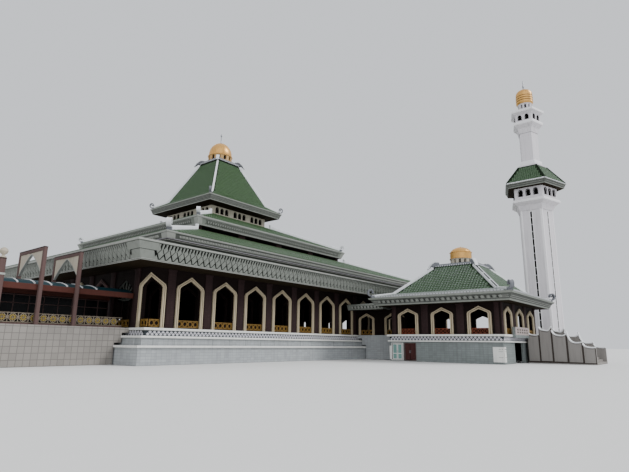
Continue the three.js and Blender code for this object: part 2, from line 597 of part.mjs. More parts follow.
for (let i = 0; i <= 10; i += 1) {
  const t = (i / 10) * 2 - 1;
  vaultOuter.push([VAULT_Y + 0.48 * t, 0.745 + VAULT_RISE * (1 - t * t)]);
  vaultInner.push([VAULT_Y + 0.455 * t, 0.73 + GAP + (VAULT_RISE - 0.005) * (1 - t * t)]);
}
vaultOuter[0][1] = 0.73 + GAP;
vaultOuter[10][1] = 0.73 + GAP;
add("walkway_canopy", "teal", slab([...vaultOuter, ...vaultInner.reverse()], "x", beamFrom, beamTo));
add("walkway_glass", "dark", block(beamFrom, 0.6, 2.21, 2.24, GAP, 0.62 - GAP));
add("walkway_fence", "gold", block(beamFrom, 0.45, 1.255, 1.285, GAP, 0.215));

export default root;
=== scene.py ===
"""The looks of a mosque building at 1:10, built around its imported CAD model.

The building has a square prayer hall with three roof tiers, a square pavilion joined to it by a link,
an outside stair, a five-sided minaret and a covered walkway. Shapes are worked out in bays, where one
bay is one arch of the hall's arcade, in the frame of the part that carries them, and are turned into
metres in piece().
"""

import bpy
import numpy as np
from mathutils import Matrix, Vector


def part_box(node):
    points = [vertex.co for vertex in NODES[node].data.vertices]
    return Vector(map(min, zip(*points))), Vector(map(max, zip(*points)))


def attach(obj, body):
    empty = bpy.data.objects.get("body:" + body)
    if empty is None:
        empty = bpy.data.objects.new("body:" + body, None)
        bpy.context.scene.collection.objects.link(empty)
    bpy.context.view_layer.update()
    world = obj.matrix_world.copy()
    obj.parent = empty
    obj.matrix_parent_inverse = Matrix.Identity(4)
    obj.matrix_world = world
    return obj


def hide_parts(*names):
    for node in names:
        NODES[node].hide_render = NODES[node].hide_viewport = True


bl_info = {
    "name": "Tiered Mosque",
    "version": (1, 0, 0),
    "blender": (4, 5, 0),
    "location": "View3D > Sidebar > Mosque",
    "description": "Dresses a tiered mosque model with tiles, lattices, arch frames, domes and finishes",
    "category": "Add Mesh",
}

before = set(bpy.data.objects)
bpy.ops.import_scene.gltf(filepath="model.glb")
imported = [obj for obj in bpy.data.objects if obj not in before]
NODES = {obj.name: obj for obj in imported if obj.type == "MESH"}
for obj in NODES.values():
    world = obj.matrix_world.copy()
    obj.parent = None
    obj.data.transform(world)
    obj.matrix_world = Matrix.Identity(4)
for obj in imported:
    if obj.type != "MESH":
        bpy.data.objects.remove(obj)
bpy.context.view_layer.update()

# Driving dimensions, taken from the frame. The arcade's front wall is 17 bays long.
FRONT_LOW, FRONT_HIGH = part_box("arcade_front")
BAYS = 17
BAY = (FRONT_HIGH.x - FRONT_LOW.x) / BAYS
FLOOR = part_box("hall_podium")[1].z


def middle(node):
    """The middle of a node's plan, at the height of the prayer floor, in metres."""
    low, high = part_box(node)
    return np.array([(low.x + high.x) / 2, (low.y + high.y) / 2, FLOOR])


HALL = middle("hall_podium")
PAVILION = middle("pavilion_roof")
# The middles of the hall and the minaret from the plan's own zero, in bays.
HALL_AT, MINARET_AT = np.array([9.18, 9.18, 0]), np.array([12.626, -4.001, 0])
MINARET = HALL + (MINARET_AT - HALL_AT) * BAY
WORLD = HALL - HALL_AT * BAY
GROUND = -FLOOR / BAY
ROOT_2 = 2 ** 0.5
# Edges that turn by more than this many degrees stay sharp.
SHARP = 40
# Half widths and heights, in bays from the middle of each plan and over the floor.
ARCADE = 8.5
SOFFIT = 1.264
INNER = 7.0
HALL_INNER = [[0.29, 0], [0.29, 0.86], [0.26, 0.902], [0, 1.06]]
HALL_OUTER = [[0.363, 0], [0.363, 0.865], [0.335, 0.925], [0, 1.138]]
TOP_WALL = 1.6
TOP_WINDOWS = np.array([-1.29, -1.025, -0.76, -0.265, 0, 0.265, 0.76, 1.025, 1.29])
LOUVRE_WALL = 4.1
LOUVRES = np.array([-3.075, -1.025, 1.025, 3.075])
PAV = 1.56
PAV_STEP = 1.02
PAV_INNER = [[0.23, 0], [0.23, 0.53], [0.205, 0.558], [0, 0.645]]
PAV_OUTER = [[0.3155, 0], [0.3155, 0.54], [0.288, 0.585], [0, 0.729]]
LINK_INNER = [[0.22, 0], [0.22, 0.5], [0.195, 0.528], [0, 0.612]]
LINK_OUTER = [[0.29, 0], [0.29, 0.51], [0.265, 0.552], [0, 0.69]]
# How far a door leaf is drawn in from the foot and the head of its solid, in bays.
LEAF_GAP = 0.009
# Railings: the foot and the top of a panel, and how far its back and its front stand off the wall.
HALL_RAIL = (0.03, 0.185, -0.034, -0.012)
PAV_RAIL = (0.02, 0.165, -0.029, -0.01)
# The minaret's five sides: how near a side is to the middle for a corner at one, and the turn from the
# front of a plan to a side of its own, which has a corner towards X.
APOTHEM = float(np.cos(np.pi / 5))
FIVE_TURN = -18
# The walkway runs along X. Each frame has its middle, half thickness, top and the rise of its arch. Gates
# are lower than LOW_GATE, and the canopy's ribs stop at RIB_END.
PORTALS = [(-0.575, 0.033, 1.44, 0.385), (-1.24, 0.033, 1.44, 0.385), (-1.906, 0.053, 1.13, 0.175),
           (-2.56, 0.053, 1.13, 0.175)]
PORTAL_Y = (1.16, 2.32)
PORTAL_POST = 0.07
LOW_GATE = 1.2
WALK = (-2.62, 0.63)
RIB_END = 0.0
# The stair's parapets: middle and outer face in X and the way that face looks, the end of the copings in
# Y, then for each block its ends in Y and its heights at its left end, low part and right end.
PARAPET_X = ((9.24, 9.2, -1), (10.76, 10.8, 1))
COPING_END = -5.965
PARAPET = [(-4.341, -4.65, 0.095, 0.006, 0.03), (-4.65, -4.966, 0.22, 0.125, 0.23),
           (-4.966, -5.32, 0.124, -0.01, 0.03), (-5.32, -5.68, 0.11, -0.19, -0.17),
           (-5.68, -5.97, -0.21, -0.31, -0.3)]
# Each roof: its shell as rows of (half width, height, finish of the strip that starts there, which is soffit
# where it isn't given), the row that its fascia starts at, where its hips run, how its hips and curls are
# sized, the length of a tile, the widths of the fascia's corner blocks and whether its hips end in knobs.
ROOFS = {
    "tier1": dict(
        shell=[(6.9, 2.12, "fascia_green"), (7.59, 2.12, "fascia_pale"), (7.596, 2.13), (7.588, 2.134),
               (7.6, 2.15, "fascia_lilac"), (7.607, 2.172, "fascia"), (7.6, 2.176, "fascia_green"),
               (7.652, 2.295, "fascia"), (7.668, 2.3, "fascia_pale"), (7.68, 2.33, "fascia"),
               (7.63, 2.36, "roof_pan"), (4.1, 3.56), (4.1, 3.49), (7.52, 2.32), (7.5, 2.18), (6.9, 2.18)],
        band=6, hip=[[7.5, 2.45], [4.27, 3.547]], wide=0.09, high=0.055, curl=0.22, course=0.17,
        blocks=(0.22, 0.24), knob=True),
    "tier2": dict(
        shell=[(3.95, 3.69), (4.21, 3.69, "fascia_pale"), (4.222, 3.72, "fascia"), (4.212, 3.73, "fascia"),
               (4.305, 3.935, "fascia"), (4.328, 3.94, "fascia_pale"), (4.34, 3.98, "fascia"),
               (4.28, 4.02, "roof_pan"), (1.6, 5.1), (1.6, 5.03), (4.17, 3.97), (4.12, 3.75), (3.95, 3.75)],
        band=3, hip=[[4.2, 4.1], [1.75, 5.1]], wide=0.095, high=0.07, curl=0.2, course=0.115,
        blocks=(0.18, 0.2), knob=True),
    "tier3": dict(
        shell=[(1.5, 5.47), (1.62, 5.47), (2.08, 5.514, "fascia_pale"), (2.094, 5.54, "fascia"),
               (2.088, 5.548, "fascia_green"), (2.148, 5.715, "fascia"), (2.166, 5.722, "fascia_pale"),
               (2.18, 5.76, "fascia"), (2.12, 5.79, "roof_pan"), (1.615, 6.1, "roof_pan"), (0.64, 8.07),
               (0.56, 8.07), (1.56, 6.03), (2.03, 5.74), (2.0, 5.57), (1.62, 5.53), (1.5, 5.53)],
        band=4, hip=[[2.09, 5.82], [1.615, 6.12], [0.7, 7.96]], wide=0.075, high=0.06, curl=0.22,
        course=0.1, blocks=None, knob=False),
    "pavilion": dict(
        shell=[(1.46, 0.815), (1.91, 0.815, "fascia"), (1.925, 0.845, "fascia"),
               (1.918, 0.855, "fascia_green"), (1.995, 0.975, "fascia_green"), (2.03, 0.985, "fascia"),
               (2.05, 1.03, "fascia"), (1.99, 1.05, "roof_pan"), (1.52, 1.15, "roof_pan"), (0.6, 2.0),
               (0.52, 2.0), (1.46, 1.09), (1.93, 0.99), (1.87, 0.86), (1.46, 0.86)],
        band=3, hip=[[1.96, 1.09], [1.52, 1.17], [0.64, 1.965]], wide=0.11, high=0.035, curl=0.19,
        course=0.085, blocks=None, knob=False),
}


def colour(red, green, blue):
    """A screen colour, each part from 0 to 255, as linear light."""
    screen = np.array([red, green, blue]) / 255
    linear = np.where(screen <= 0.04045, screen / 12.92, ((screen + 0.055) / 1.055) ** 2.4)
    return tuple(float(part) for part in linear) + (1.0,)


# Sizes and colours that a user would change.


def length(name, description, size, low=0.002, high=0.5):
    """A size in metres, with its default given in bays."""
    return bpy.props.FloatProperty(
        name=name, description=description, default=size * BAY, min=low, max=high, precision=4, unit="LENGTH")


def number(name, description, default, low, high):
    """A whole number."""
    return bpy.props.IntProperty(name=name, description=description, default=default, min=low, max=high)


def paint(name, description, red, green, blue):
    """A colour, with its default as screen values."""
    return bpy.props.FloatVectorProperty(
        name=name, description=description, subtype="COLOR", size=4, min=0.0, max=1.0,
        default=colour(red, green, blue))


class MosqueHallSizes(bpy.types.PropertyGroup):
    """Sizes on the hall's arcade and podium."""

    frame_out: length("Frame depth", "How far the arch frames stand off the arcade's wall", 0.04)
    pilaster: length("Pilaster width", "Half width of the strips between the arches", 0.1)
    stars: number("Rail stars", "Stars in each railing panel", 4, 1, 8)
    frieze: length("Frieze pitch", "Distance between the diamonds of the podium's frieze", 0.1)
    lattice: length("Lattice pitch", "Distance between the large lozenges of the hall's fascia", 0.16)


class MosqueRoofSizes(bpy.types.PropertyGroup):
    """Sizes of the tiles and the hips on the roofs."""

    tier1: length("Lowest tier tiles", "Width of a tile on the lowest tier", 0.1, 0.02)
    tier2: length("Second tier tiles", "Width of a tile on the second tier", 0.0833, 0.02)
    tier3: length("Top tier tiles", "Width of a tile on the top tier", 0.0833, 0.02)
    pavilion: length("Pavilion tiles", "Width of a tile on the pavilion's roof", 0.085, 0.02)
    rise: length("Tile rise", "How far a tile's crown stands off the roof", 0.018)
    chain: length("Diamond chain pitch", "Distance between the diamonds on the fascias", 0.11)


class MosquePavilionSizes(bpy.types.PropertyGroup):
    """Sizes on the pavilion, the link and the stair."""

    frame_out: length("Frame depth", "How far the arch frames stand off the walls", 0.035)
    pilaster: length("Pilaster width", "Half width of the strips between the arches", 0.1)
    crosses: number("Rail crosses", "Crosses in each railing panel", 4, 1, 9)
    frieze: length("Frieze pitch", "Distance between the diamonds of the podium's frieze", 0.1)
    coping: length("Coping width", "Half width of the stair's copings", 0.06)


class MosqueMinaretSizes(bpy.types.PropertyGroup):
    """Sizes on the minaret."""

    lip: length("Slot lip", "Width of the raised lip beside each slot", 0.03)
    tile: length("Tile width", "Width of a tile on the minaret's roof", 0.0625, 0.02)
    seams: number("Cap seams", "Raised seams down the gold cap", 12, 4, 24)


class MosqueWalkwaySizes(bpy.types.PropertyGroup):
    """Sizes on the covered walkway."""

    rib: length("Rib spacing", "Distance between the ribs of the canopy", 0.29, 0.05)
    bar: length("Glazing bar spacing", "Distance between the bars of the glazing", 0.28, 0.05)
    star: length("Star spacing", "Distance between the stars of the fence", 0.17, 0.03)


class MosqueColours(bpy.types.PropertyGroup):
    """The colour of each finish."""

    # Partly painted shade: the tiles' own dark maroon, darkened further to the deep shade under the eaves.
    wall_tile: paint("Wall tiles", "Dark tiles of the arcade and pavilion walls", 28, 18, 16)
    pilaster: paint("Pilasters", "Strips between the arches", 54, 40, 40)
    arch_frame: paint("Arch frames", "Raised bands round the arches", 190, 176, 148)
    frame_groove: paint("Frame grooves", "Sunk line in the arch frames", 120, 100, 80)
    rail_gold: paint("Hall rails", "Railings in the hall's arches", 142, 110, 52)
    rail_red: paint("Pavilion rails", "Railings in the pavilion's arches", 136, 68, 42)
    rail_pale: paint("Fence lattice", "Lattice of the walkway's fence", 152, 140, 122)
    star_gold: paint("Fence stars", "Stars of the walkway's fence", 186, 162, 82)
    # Painted shade: a near-black stand-in for the shade deep inside openings, slots, window heads and on
    # inward faces.
    shadow: paint("Deep lining", "Surfaces deep inside openings", 12, 11, 10)
    # Painted shade: the inner walls' render is darkened to the shade behind the verandah.
    inner: paint("Inner walls", "Render behind the verandah", 28, 22, 19)
    # Partly painted shade: the boards' own brown, darkened to the shade under the eaves.
    soffit: paint("Soffits", "Boards under the eaves", 44, 36, 26)
    # Painted shade: the floors behind the arcades are darkened so that the inside reads as in shade.
    deck: paint("Inside floors", "Floors behind the arcades", 60, 53, 48)
    fascia: paint("Fascias", "Cast bands under the roofs", 138, 142, 135)
    fascia_pale: paint("Fascia edges", "Mouldings of the cast bands", 164, 166, 160)
    fascia_green: paint("Chain bands", "Ground of the diamond chains", 92, 95, 90)
    fascia_lilac: paint("Mark band", "Ground of the lowest tier's marks", 146, 143, 150)
    # Real dark marks and painted shade: the crosses on the chains, the pavilion hips' beds and the curls'
    # balls are dark parts, while the lattice's sunk ground is painted shade behind its openings and its dark
    # moulding strips are painted shadow lines.
    fascia_dark: paint("Lattice ground", "Sunk ground of the lattice", 24, 27, 24)
    # Real light marks and diamonds, and also a painted highlight on the lower ends of the pavilion's tiles.
    pattern_white: paint("Pattern", "Light marks and diamonds", 205, 204, 210)
    slate: paint("Frieze ground", "Ground of the podium's diamond friezes", 56, 62, 66)
    roof: paint("Roof tiles", "Glazed tiles of the roofs", 64, 92, 57)
    roof_pale: paint("Pavilion tiles", "Weathered tiles of the pavilion", 78, 104, 74)
    roof_pan: paint("Tile channels", "Pans between the rows of tiles", 26, 42, 24)
    ridge_white: paint("Ridges", "Ridge bars and curls", 236, 238, 240)
    curl: paint("Curl posts", "Posts under the curls", 126, 128, 134)
    crown: paint("Ridge plates", "Plates and horns of the cut-off tops", 112, 112, 118)
    gold: paint("Gold cladding", "Domes and cap", 224, 172, 96)
    drum_tan: paint("Drum walls", "Walls of the drums", 196, 158, 104)
    white: paint("White render", "Minaret", 222, 218, 222)
    # Partly painted shade: a cream render, dimmed to the shade on the top tier's walls under their roof; the
    # pavilion's drum uses it too.
    cream: paint("Cream render", "Walls of the top tier", 190, 183, 166)
    white_edge: paint("White mouldings", "Edges and rings on white render", 240, 238, 240)
    podium: paint("Podium", "Tiles of the hall's podium", 172, 176, 178)
    podium_blue: paint("Pavilion podium", "Tiles of the pavilion's podium", 130, 137, 136)
    ledge: paint("Ledges", "White ledges and piers", 226, 226, 222)
    stair_wall: paint("Stair panels", "Panels of the stair's parapets", 142, 138, 134)
    # Real dark joints between the stair's panels, and also painted shade in the holes of the landing's
    # balustrade.
    joint_dark: paint("Stair joints", "Joints between the panels", 64, 58, 54)
    balustrade: paint("Balustrade", "Pierced balustrade of the landing", 172, 160, 156)
    paving: paint("Paving", "Steps and walkway base", 150, 145, 139)
    post: paint("Portal posts", "Posts and lintels of the walkway", 98, 78, 75)
    post_dark: paint("Portal caps", "Top edge of the portals", 58, 44, 43)
    beam: paint("Beams", "Long beams of the walkway", 84, 48, 41)
    spandrel: paint("Spandrels", "Panels in the portals' arches", 186, 176, 158)
    canopy: paint("Canopy", "Sheet of the canopy", 16, 52, 60)
    dark_glass: paint("Dark glazing", "Windows and walkway glass", 9, 10, 12)
    glass: paint("Door glass", "Tinted panes of the glass doors", 118, 156, 150)
    timber: paint("Timber", "Timber doors", 66, 26, 24)
    metal: paint("Metal", "Spires and door handles", 150, 152, 156)
    floor: paint("Studio floor", "Floor of the stage", 226, 226, 224)


def look(slot, shade, rough, bump, grain, **more):
    """How a finish looks: the record's slot, the share of light of its darker tone, its roughness, its bump
    and the fineness of its noise. More may be shine, metal, streaks, wood, or boards and tile in metres with
    the joint's share of light."""
    return dict(slot=slot, shade=shade, rough=rough, bump=bump, grain=grain, **more)


FINISHES = {
    "wall_tile": look("arcade_wall", 0.7, 0.75, 0.25, 9, shine=0.12, tile=(0.04, 0.02), joint=0.6),
    "pilaster": look("arcade_wall", 0.76, 0.8, 0.2, 9, shine=0.12, tile=(0.04, 0.02), joint=0.7),
    "arch_frame": look("arcade_wall", 0.84, 0.62, 0.15, 22, streaks=True),
    "frame_groove": look("arcade_wall", 0.84, 0.7, 0.1, 22),
    "rail_gold": look("railing_gold", 0.66, 0.45, 0.1, 30),
    "rail_red": look("railing_gold", 0.7, 0.5, 0.1, 30),
    "rail_pale": look("railing_gold", 0.84, 0.55, 0.1, 30),
    "star_gold": look("railing_gold", 0.75, 0.45, 0.1, 30),
    "shadow": look("inner_wall", 0.7, 0.85, 0.1, 14, shine=0.02),
    "inner": look("inner_wall", 0.76, 0.8, 0.15, 10, shine=0.04),
    "soffit": look("ceiling", 0.7, 0.8, 0.3, 8, shine=0.04, boards=0.05),
    "deck": look("podium_stone", 0.8, 0.6, 0.2, 10, shine=0.1, tile=(0.06, 0.06), joint=0.7),
    "fascia": look("fascia_grey", 0.76, 0.72, 0.3, 14, streaks=True),
    "fascia_pale": look("fascia_grey", 0.82, 0.72, 0.2, 14, streaks=True),
    "fascia_green": look("fascia_grey", 0.74, 0.75, 0.2, 14, streaks=True),
    "fascia_lilac": look("fascia_grey", 0.78, 0.75, 0.2, 14, streaks=True),
    "fascia_dark": look("fascia_grey", 0.7, 0.85, 0.15, 14, shine=0.06),
    "pattern_white": look("fascia_grey", 0.84, 0.6, 0.15, 20),
    "slate": look("podium_stone", 0.76, 0.6, 0.15, 14, shine=0.1),
    "roof": look("roof_tile", 0.66, 0.4, 0.2, 26, shine=0.22, streaks=True),
    "roof_pale": look("roof_tile", 0.6, 0.36, 0.2, 40, shine=0.2, streaks=True),
    "roof_pan": look("roof_tile", 0.66, 0.55, 0.2, 26, shine=0.06),
    "ridge_white": look("white_render", 0.84, 0.5, 0.15, 20, streaks=True),
    "curl": look("fascia_grey", 0.76, 0.6, 0.2, 20, streaks=True),
    "crown": look("fascia_grey", 0.72, 0.7, 0.2, 20, streaks=True),
    "gold": look("dome_gold", 0.78, 0.34, 0.08, 10, metal=0.5),
    "drum_tan": look("dome_gold", 0.78, 0.5, 0.15, 14, metal=0.1, streaks=True),
    "white": look("white_render", 0.88, 0.66, 0.2, 8, streaks=True),
    "cream": look("white_render", 0.86, 0.7, 0.2, 8, streaks=True),
    "white_edge": look("white_render", 0.9, 0.6, 0.15, 12),
    "podium": look("podium_stone", 0.86, 0.7, 0.2, 8, tile=(0.06, 0.03), joint=0.76, streaks=True),
    "podium_blue": look("podium_stone", 0.86, 0.6, 0.2, 8, tile=(0.06, 0.03), joint=0.76, streaks=True),
    "ledge": look("podium_stone", 0.87, 0.65, 0.15, 12, streaks=True),
    "stair_wall": look("podium_stone", 0.82, 0.8, 0.3, 7, streaks=True),
    "joint_dark": look("podium_stone", 0.8, 0.85, 0.2, 10, shine=0.1),
    "balustrade": look("podium_stone", 0.84, 0.75, 0.2, 14, streaks=True),
    "paving": look("podium_stone", 0.84, 0.75, 0.2, 10, tile=(0.06, 0.06), joint=0.72),
    "post": look("portal_brown", 0.8, 0.7, 0.25, 10, shine=0.12, streaks=True),
    "post_dark": look("portal_brown", 0.76, 0.7, 0.2, 10, shine=0.08),
    "beam": look("portal_brown", 0.78, 0.6, 0.2, 12, shine=0.12, streaks=True),
    "spandrel": look("portal_brown", 0.84, 0.7, 0.2, 12, streaks=True),
    "canopy": look("canopy_teal", 0.7, 0.55, 0.1, 12, shine=0.15),
    "dark_glass": look("dark_glazing", 0.7, 0.3, 0.02, 4, shine=0.12),
    "glass": look("door_glass", 0.8, 0.12, 0.02, 4),
    "timber": look("door_timber", 0.62, 0.5, 0.3, 14, wood=True),
    "metal": look("fascia_grey", 0.8, 0.35, 0.05, 30, metal=0.8),
    "floor": look("podium_stone", 0.96, 0.9, 0.02, 1),
}


def sizes(part):
    """The sizes of one part of the building, as their property group."""
    return getattr(bpy.context.scene, "mosque_" + part)


def bays(part, name):
    """One size in bays."""
    return getattr(sizes(part), name) / BAY


# Shapes. A shape is (points, faces): an array of places and a list of arrays of point numbers.


def grid(rows, cols, close_rows=False, close_cols=False):
    """Faces of a grid whose points are numbered row by row, closed on itself where asked."""
    r = np.arange(rows if close_rows else rows - 1)
    c = np.arange(cols if close_cols else cols - 1)
    a, b = np.meshgrid(r, c, indexing="ij")
    a2, b2 = (a + 1) % rows, (b + 1) % cols
    return np.stack([a * cols + b, a2 * cols + b, a2 * cols + b2, a * cols + b2], -1).reshape(-1, 4)


def joined(shapes):
    """Several shapes as one."""
    points, faces, base = [], [], 0
    for some, lists in shapes:
        points.append(some)
        faces += [f + base for f in lists]
        base += len(some)
    return np.concatenate(points), faces


def repeated(shape, places):
    """A copy of the shape moved by each row of places."""
    points, faces = shape
    places = np.asarray(places, float).reshape(-1, 3)
    copies = (points[None] + places[:, None]).reshape(-1, 3)
    steps = np.arange(len(places))[:, None, None] * len(points)
    return copies, [(f[None] + steps).reshape(-1, f.shape[1]) for f in faces]


def along(shape, places):
    """A copy of the shape at each distance along its wall."""
    return repeated(shape, [[x, 0, 0] for x in places])


def turned(shape, degrees):
    """The shape turned about the upright axis."""
    points, faces = shape
    c, s = np.cos(np.radians(degrees)), np.sin(np.radians(degrees))
    return points @ np.array([[c, s, 0], [-s, c, 0], [0, 0, 1]]), faces


def around(shape, count=4, first=0):
    """The shape on each side of a plan with that many sides."""
    return joined([turned(shape, first + 360 / count * i) for i in range(count)])


def at_corners(shape, count=4, first=45):
    """A shape built along X, turned to each corner of the plan."""
    return around(shape, count, first)


def moved(shape, x=0, y=0, z=0):
    """The shape moved."""
    return shape[0] + np.array([x, y, z]), shape[1]


def mirrored(shape):
    """The shape with left and right changed over."""
    return shape[0] * [-1, 1, 1], [f[:, ::-1] for f in shape[1]]


def rect(a0, b0, a1, b1):
    """The outline of a rectangle between two of its corners."""
    return [[a0, b0], [a1, b0], [a1, b1], [a0, b1]]


def slab(half, low, high):
    """The section of a flat bar for carried, between two levels."""
    return both_halves([[-half, low], [-half, high]])


def chamfered(a0, b0, a1, b1, cut_a, cut_b):
    """The outline of a rectangle whose corners are cut off."""
    return [[a0, b0 + cut_b], [a0 + cut_a, b0], [a1 - cut_a, b0], [a1, b0 + cut_b], [a1, b1 - cut_b],
            [a1 - cut_a, b1], [a0 + cut_a, b1], [a0, b1 - cut_b]]


def both_halves(left):
    """An outline from its left half: its points, then the same on the right in the other order."""
    left = np.asarray(left, float)
    return np.concatenate([left, left[::-1] * [-1, 1]])


def on_face(places):
    """Rows of (along, up) as places on a face."""
    return np.column_stack([places, np.zeros(len(places))])


def out_up(out, up):
    """Places in the upright plane along X, from their distances out and their heights."""
    return np.column_stack([out, np.zeros(len(out)), up])


def prism(outline, low, high, axis="y", inset=0.0):
    """A flat outline between two levels of one axis. The far side is drawn in by inset to its middle."""
    flat = np.asarray(outline, float)
    n = len(flat)
    centre = flat.mean(0)
    size = np.abs(flat - centre).max()
    small = centre + (flat - centre) * (1 - inset / size)
    both = np.concatenate([flat, small])
    level = np.repeat([low, high], n)
    order = {"x": [2, 0, 1], "y": [0, 2, 1], "z": [0, 1, 2]}[axis]
    points = np.column_stack([both, level])[:, order]
    return points, [grid(2, n, close_cols=True), np.arange(n)[None], np.arange(n)[None, ::-1] + n]


def bars(p, q, width, depth, foot=0.0):
    """Straight bars on a face from each p to each q, rows of (along, up). Each is a box with bevelled
    sides, width across at its foot and standing depth off the face."""
    p, q = np.asarray(p, float).reshape(-1, 2), np.asarray(q, float).reshape(-1, 2)
    way = (q - p) / np.linalg.norm(q - p, axis=1, keepdims=True)
    side = np.column_stack([-way[:, 1], way[:, 0]])
    across = np.array([-0.5, -0.36, 0.36, 0.5]) * width
    off = np.array([foot, depth, depth, foot])
    ends = np.stack([p, q], 1)[:, :, None] + side[:, None, None] * across[None, None, :, None]
    height = np.broadcast_to(off[None, None, :, None], ends.shape[:3] + (1,))
    points = np.concatenate([ends, height], -1)
    steps = np.arange(len(p))[:, None, None] * 8
    faces = [grid(2, 4, close_cols=True), np.array([[3, 2, 1, 0], [4, 5, 6, 7]])]
    return points.reshape(-1, 3), [(f[None] + steps).reshape(-1, 4) for f in faces]


def lozenges(places, half_wide, half_high, depth, inset, foot=0.0):
    """Raised pointed tiles on a face, at rows of (along, up)."""
    outline = [[-half_wide, 0], [0, -half_high], [half_wide, 0], [0, half_high]]
    shape = prism(outline, foot, depth, "z", inset)
    return repeated(shape, on_face(places))


def run_of(line):
    """The distance along a line of points to each of them: the sum of the lengths of the parts before."""
    steps = np.diff(np.asarray(line, float), axis=0)
    return np.concatenate([[0], np.cumsum(np.linalg.norm(steps, axis=1))])


def length_of(line):
    """How long a line of points is."""
    return run_of(line)[-1]


def half_at(line, up):
    """The half width of a side's section at a distance along it."""
    return np.interp(up, run_of(line), np.asarray(line, float)[:, 0])


def on_line(shape, line):
    """Puts a flat shape of (along, up, off) on the front side of a square plan. line has the (half width,
    height) points of the side's section, up is the distance along it, and off is square to it."""
    points, faces = shape
    line = np.asarray(line, float)
    steps, run = np.diff(line, axis=0), run_of(line)
    part = np.clip(np.searchsorted(run, points[:, 1], side="right") - 1, 0, len(steps) - 1)
    way = steps[part] / np.linalg.norm(steps[part], axis=1, keepdims=True)
    at = line[part] + way * (points[:, 1] - run[part])[:, None]
    half = at[:, 0] + way[:, 1] * points[:, 2]
    high = at[:, 1] - way[:, 0] * points[:, 2]
    return np.column_stack([points[:, 0], -half, high]), faces


def on_sides(shape, line, ways=(0, 90, 180, 270)):
    """A flat shape on the sides of a square plan that look those ways, whose section is the line."""
    return joined([turned(on_line(shape, line), way) for way in ways])


def upright(half, top=10.0):
    """The section of an upright wall at a half width, for on_line."""
    return [[half, 0], [half, top]]


def ring(profile, count=4):
    """A closed profile of (half width, height) points carried round a square or other even plan."""
    profile = np.asarray(profile, float)
    turn = np.radians(np.arange(count) * 360 / count - 90 + 180 / count)
    reach = profile[:, 0, None] / np.cos(np.pi / count)
    level = np.broadcast_to(profile[:, 1, None], reach.shape[:1] + (count,))
    points = np.stack([reach * np.cos(turn), reach * np.sin(turn), level], -1)
    return points.reshape(-1, 3), [grid(len(profile), count, True, True)]


def strips(rows, count=4):
    """A closed ring from rows of (half width, height, finish), where each finish is that of the strip from
    its row to the next and is soffit where it isn't given, as (shape, finishes)."""
    points, faces = ring([row[:2] for row in rows], count)
    each = faces[0].reshape(len(rows), count, 4)
    return (points, list(each)), [row[2] if len(row) > 2 else "soffit" for row in rows]


def lathe(profile, sides=48):
    """A profile of (radius, height) points turned about the upright axis, closed on itself."""
    profile = np.asarray(profile, float)
    turn = np.radians(np.arange(sides) * 360 / sides)
    radius = np.maximum(profile[:, 0, None], 1e-5)
    level = np.broadcast_to(profile[:, 1, None], (len(profile), sides))
    points = np.stack([radius * np.cos(turn), radius * np.sin(turn), level], -1)
    return points.reshape(-1, 3), [grid(len(profile), sides, True, True)]


def carried(section, path, across=(0, 1, 0)):
    """A closed section of (a, b) points carried along a path of places in an upright plane. across is the
    level direction square to that plane: a runs along it, and b runs square to the path in the plane."""
    section, path = np.asarray(section, float), np.asarray(path, float)
    way = np.gradient(path, axis=0)
    way /= np.linalg.norm(way, axis=1, keepdims=True)
    across = np.asarray(across, float)
    up = np.cross(across, way)
    up *= np.where(up[:, 2:].mean() < 0, -1, 1)
    points = path[:, None] + section[None, :, :1] * across + section[None, :, 1:] * up[:, None]
    n, m = len(path), len(section)
    caps = [np.arange(m)[None], np.arange(m)[None, ::-1] + (n - 1) * m]
    return points.reshape(-1, 3), [grid(n, m, close_cols=True)] + caps


def rounded(points, per=6):
    """A line drawn smoothly through its points, by cubic arcs between them."""
    points = np.asarray(points, float)
    padded = np.concatenate([[2 * points[0] - points[1]], points, [2 * points[-1] - points[-2]]])
    t = np.linspace(0, 1, per, endpoint=False)[:, None]
    out = []
    for i in range(len(points) - 1):
        a, b, c, d = padded[i:i + 4]
        bend = (2 * a - 5 * b + 4 * c - d) * t ** 2 + (3 * b - a - 3 * c + d) * t ** 3
        out.append(0.5 * (2 * b + (c - a) * t + bend))
    return np.concatenate(out + [points[-1:]])


def outwards(shape):
    """The shape with its faces pointing outwards: all are turned over where its volume is negative."""
    points, faces = shape
    volume = 0.0
    for f in faces:
        triangles = [f[:, [0, i, i + 1]] for i in range(1, f.shape[1] - 1)]
        a, b, c = np.moveaxis(points[np.concatenate(triangles)], 1, 0)
        volume += np.einsum("ij,ij->i", a, np.cross(b, c)).sum()
    return (points, [f[:, ::-1] for f in faces]) if volume < 0 else shape


def linked(name, data):
    """A new object in the scene."""
    made = bpy.data.objects.new(name, data)
    bpy.context.scene.collection.objects.link(made)
    return made


def piece(name, parts, at=WORLD, body="building", nodes=()):
    """Makes one object from parts, each (shape, finish), in bays from the place `at`. It stands for the
    CAD nodes that it names."""
    mesh = bpy.data.meshes.new(name)
    points, faces, numbers, base = [], [], [], 0
    parts = [(shape, [finish] * len(shape[1]) if isinstance(finish, str) else finish)
             for shape, finish in parts]
    finishes = list(dict.fromkeys(name_of for _, names in parts for name_of in names))
    for shape, names in parts:
        some, lists = outwards(shape)
        points.append(some)
        for f, name_of in zip(lists, names):
            faces += (f + base).tolist()
            numbers += [finishes.index(name_of)] * len(f)
        base += len(some)
    mesh.from_pydata(np.concatenate(points) * BAY + at, [], faces)
    for finish in finishes:
        mesh.materials.append(material(finish))
    mesh.polygons.foreach_set("material_index", np.array(numbers, np.int32))
    mesh.polygons.foreach_set("use_smooth", np.ones(len(faces), bool))
    mesh.set_sharp_from_angle(angle=np.radians(SHARP))
    mesh.update()
    made = linked(name, mesh)
    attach(made, body)
    if nodes:
        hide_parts(*nodes)


# Finishes as materials.


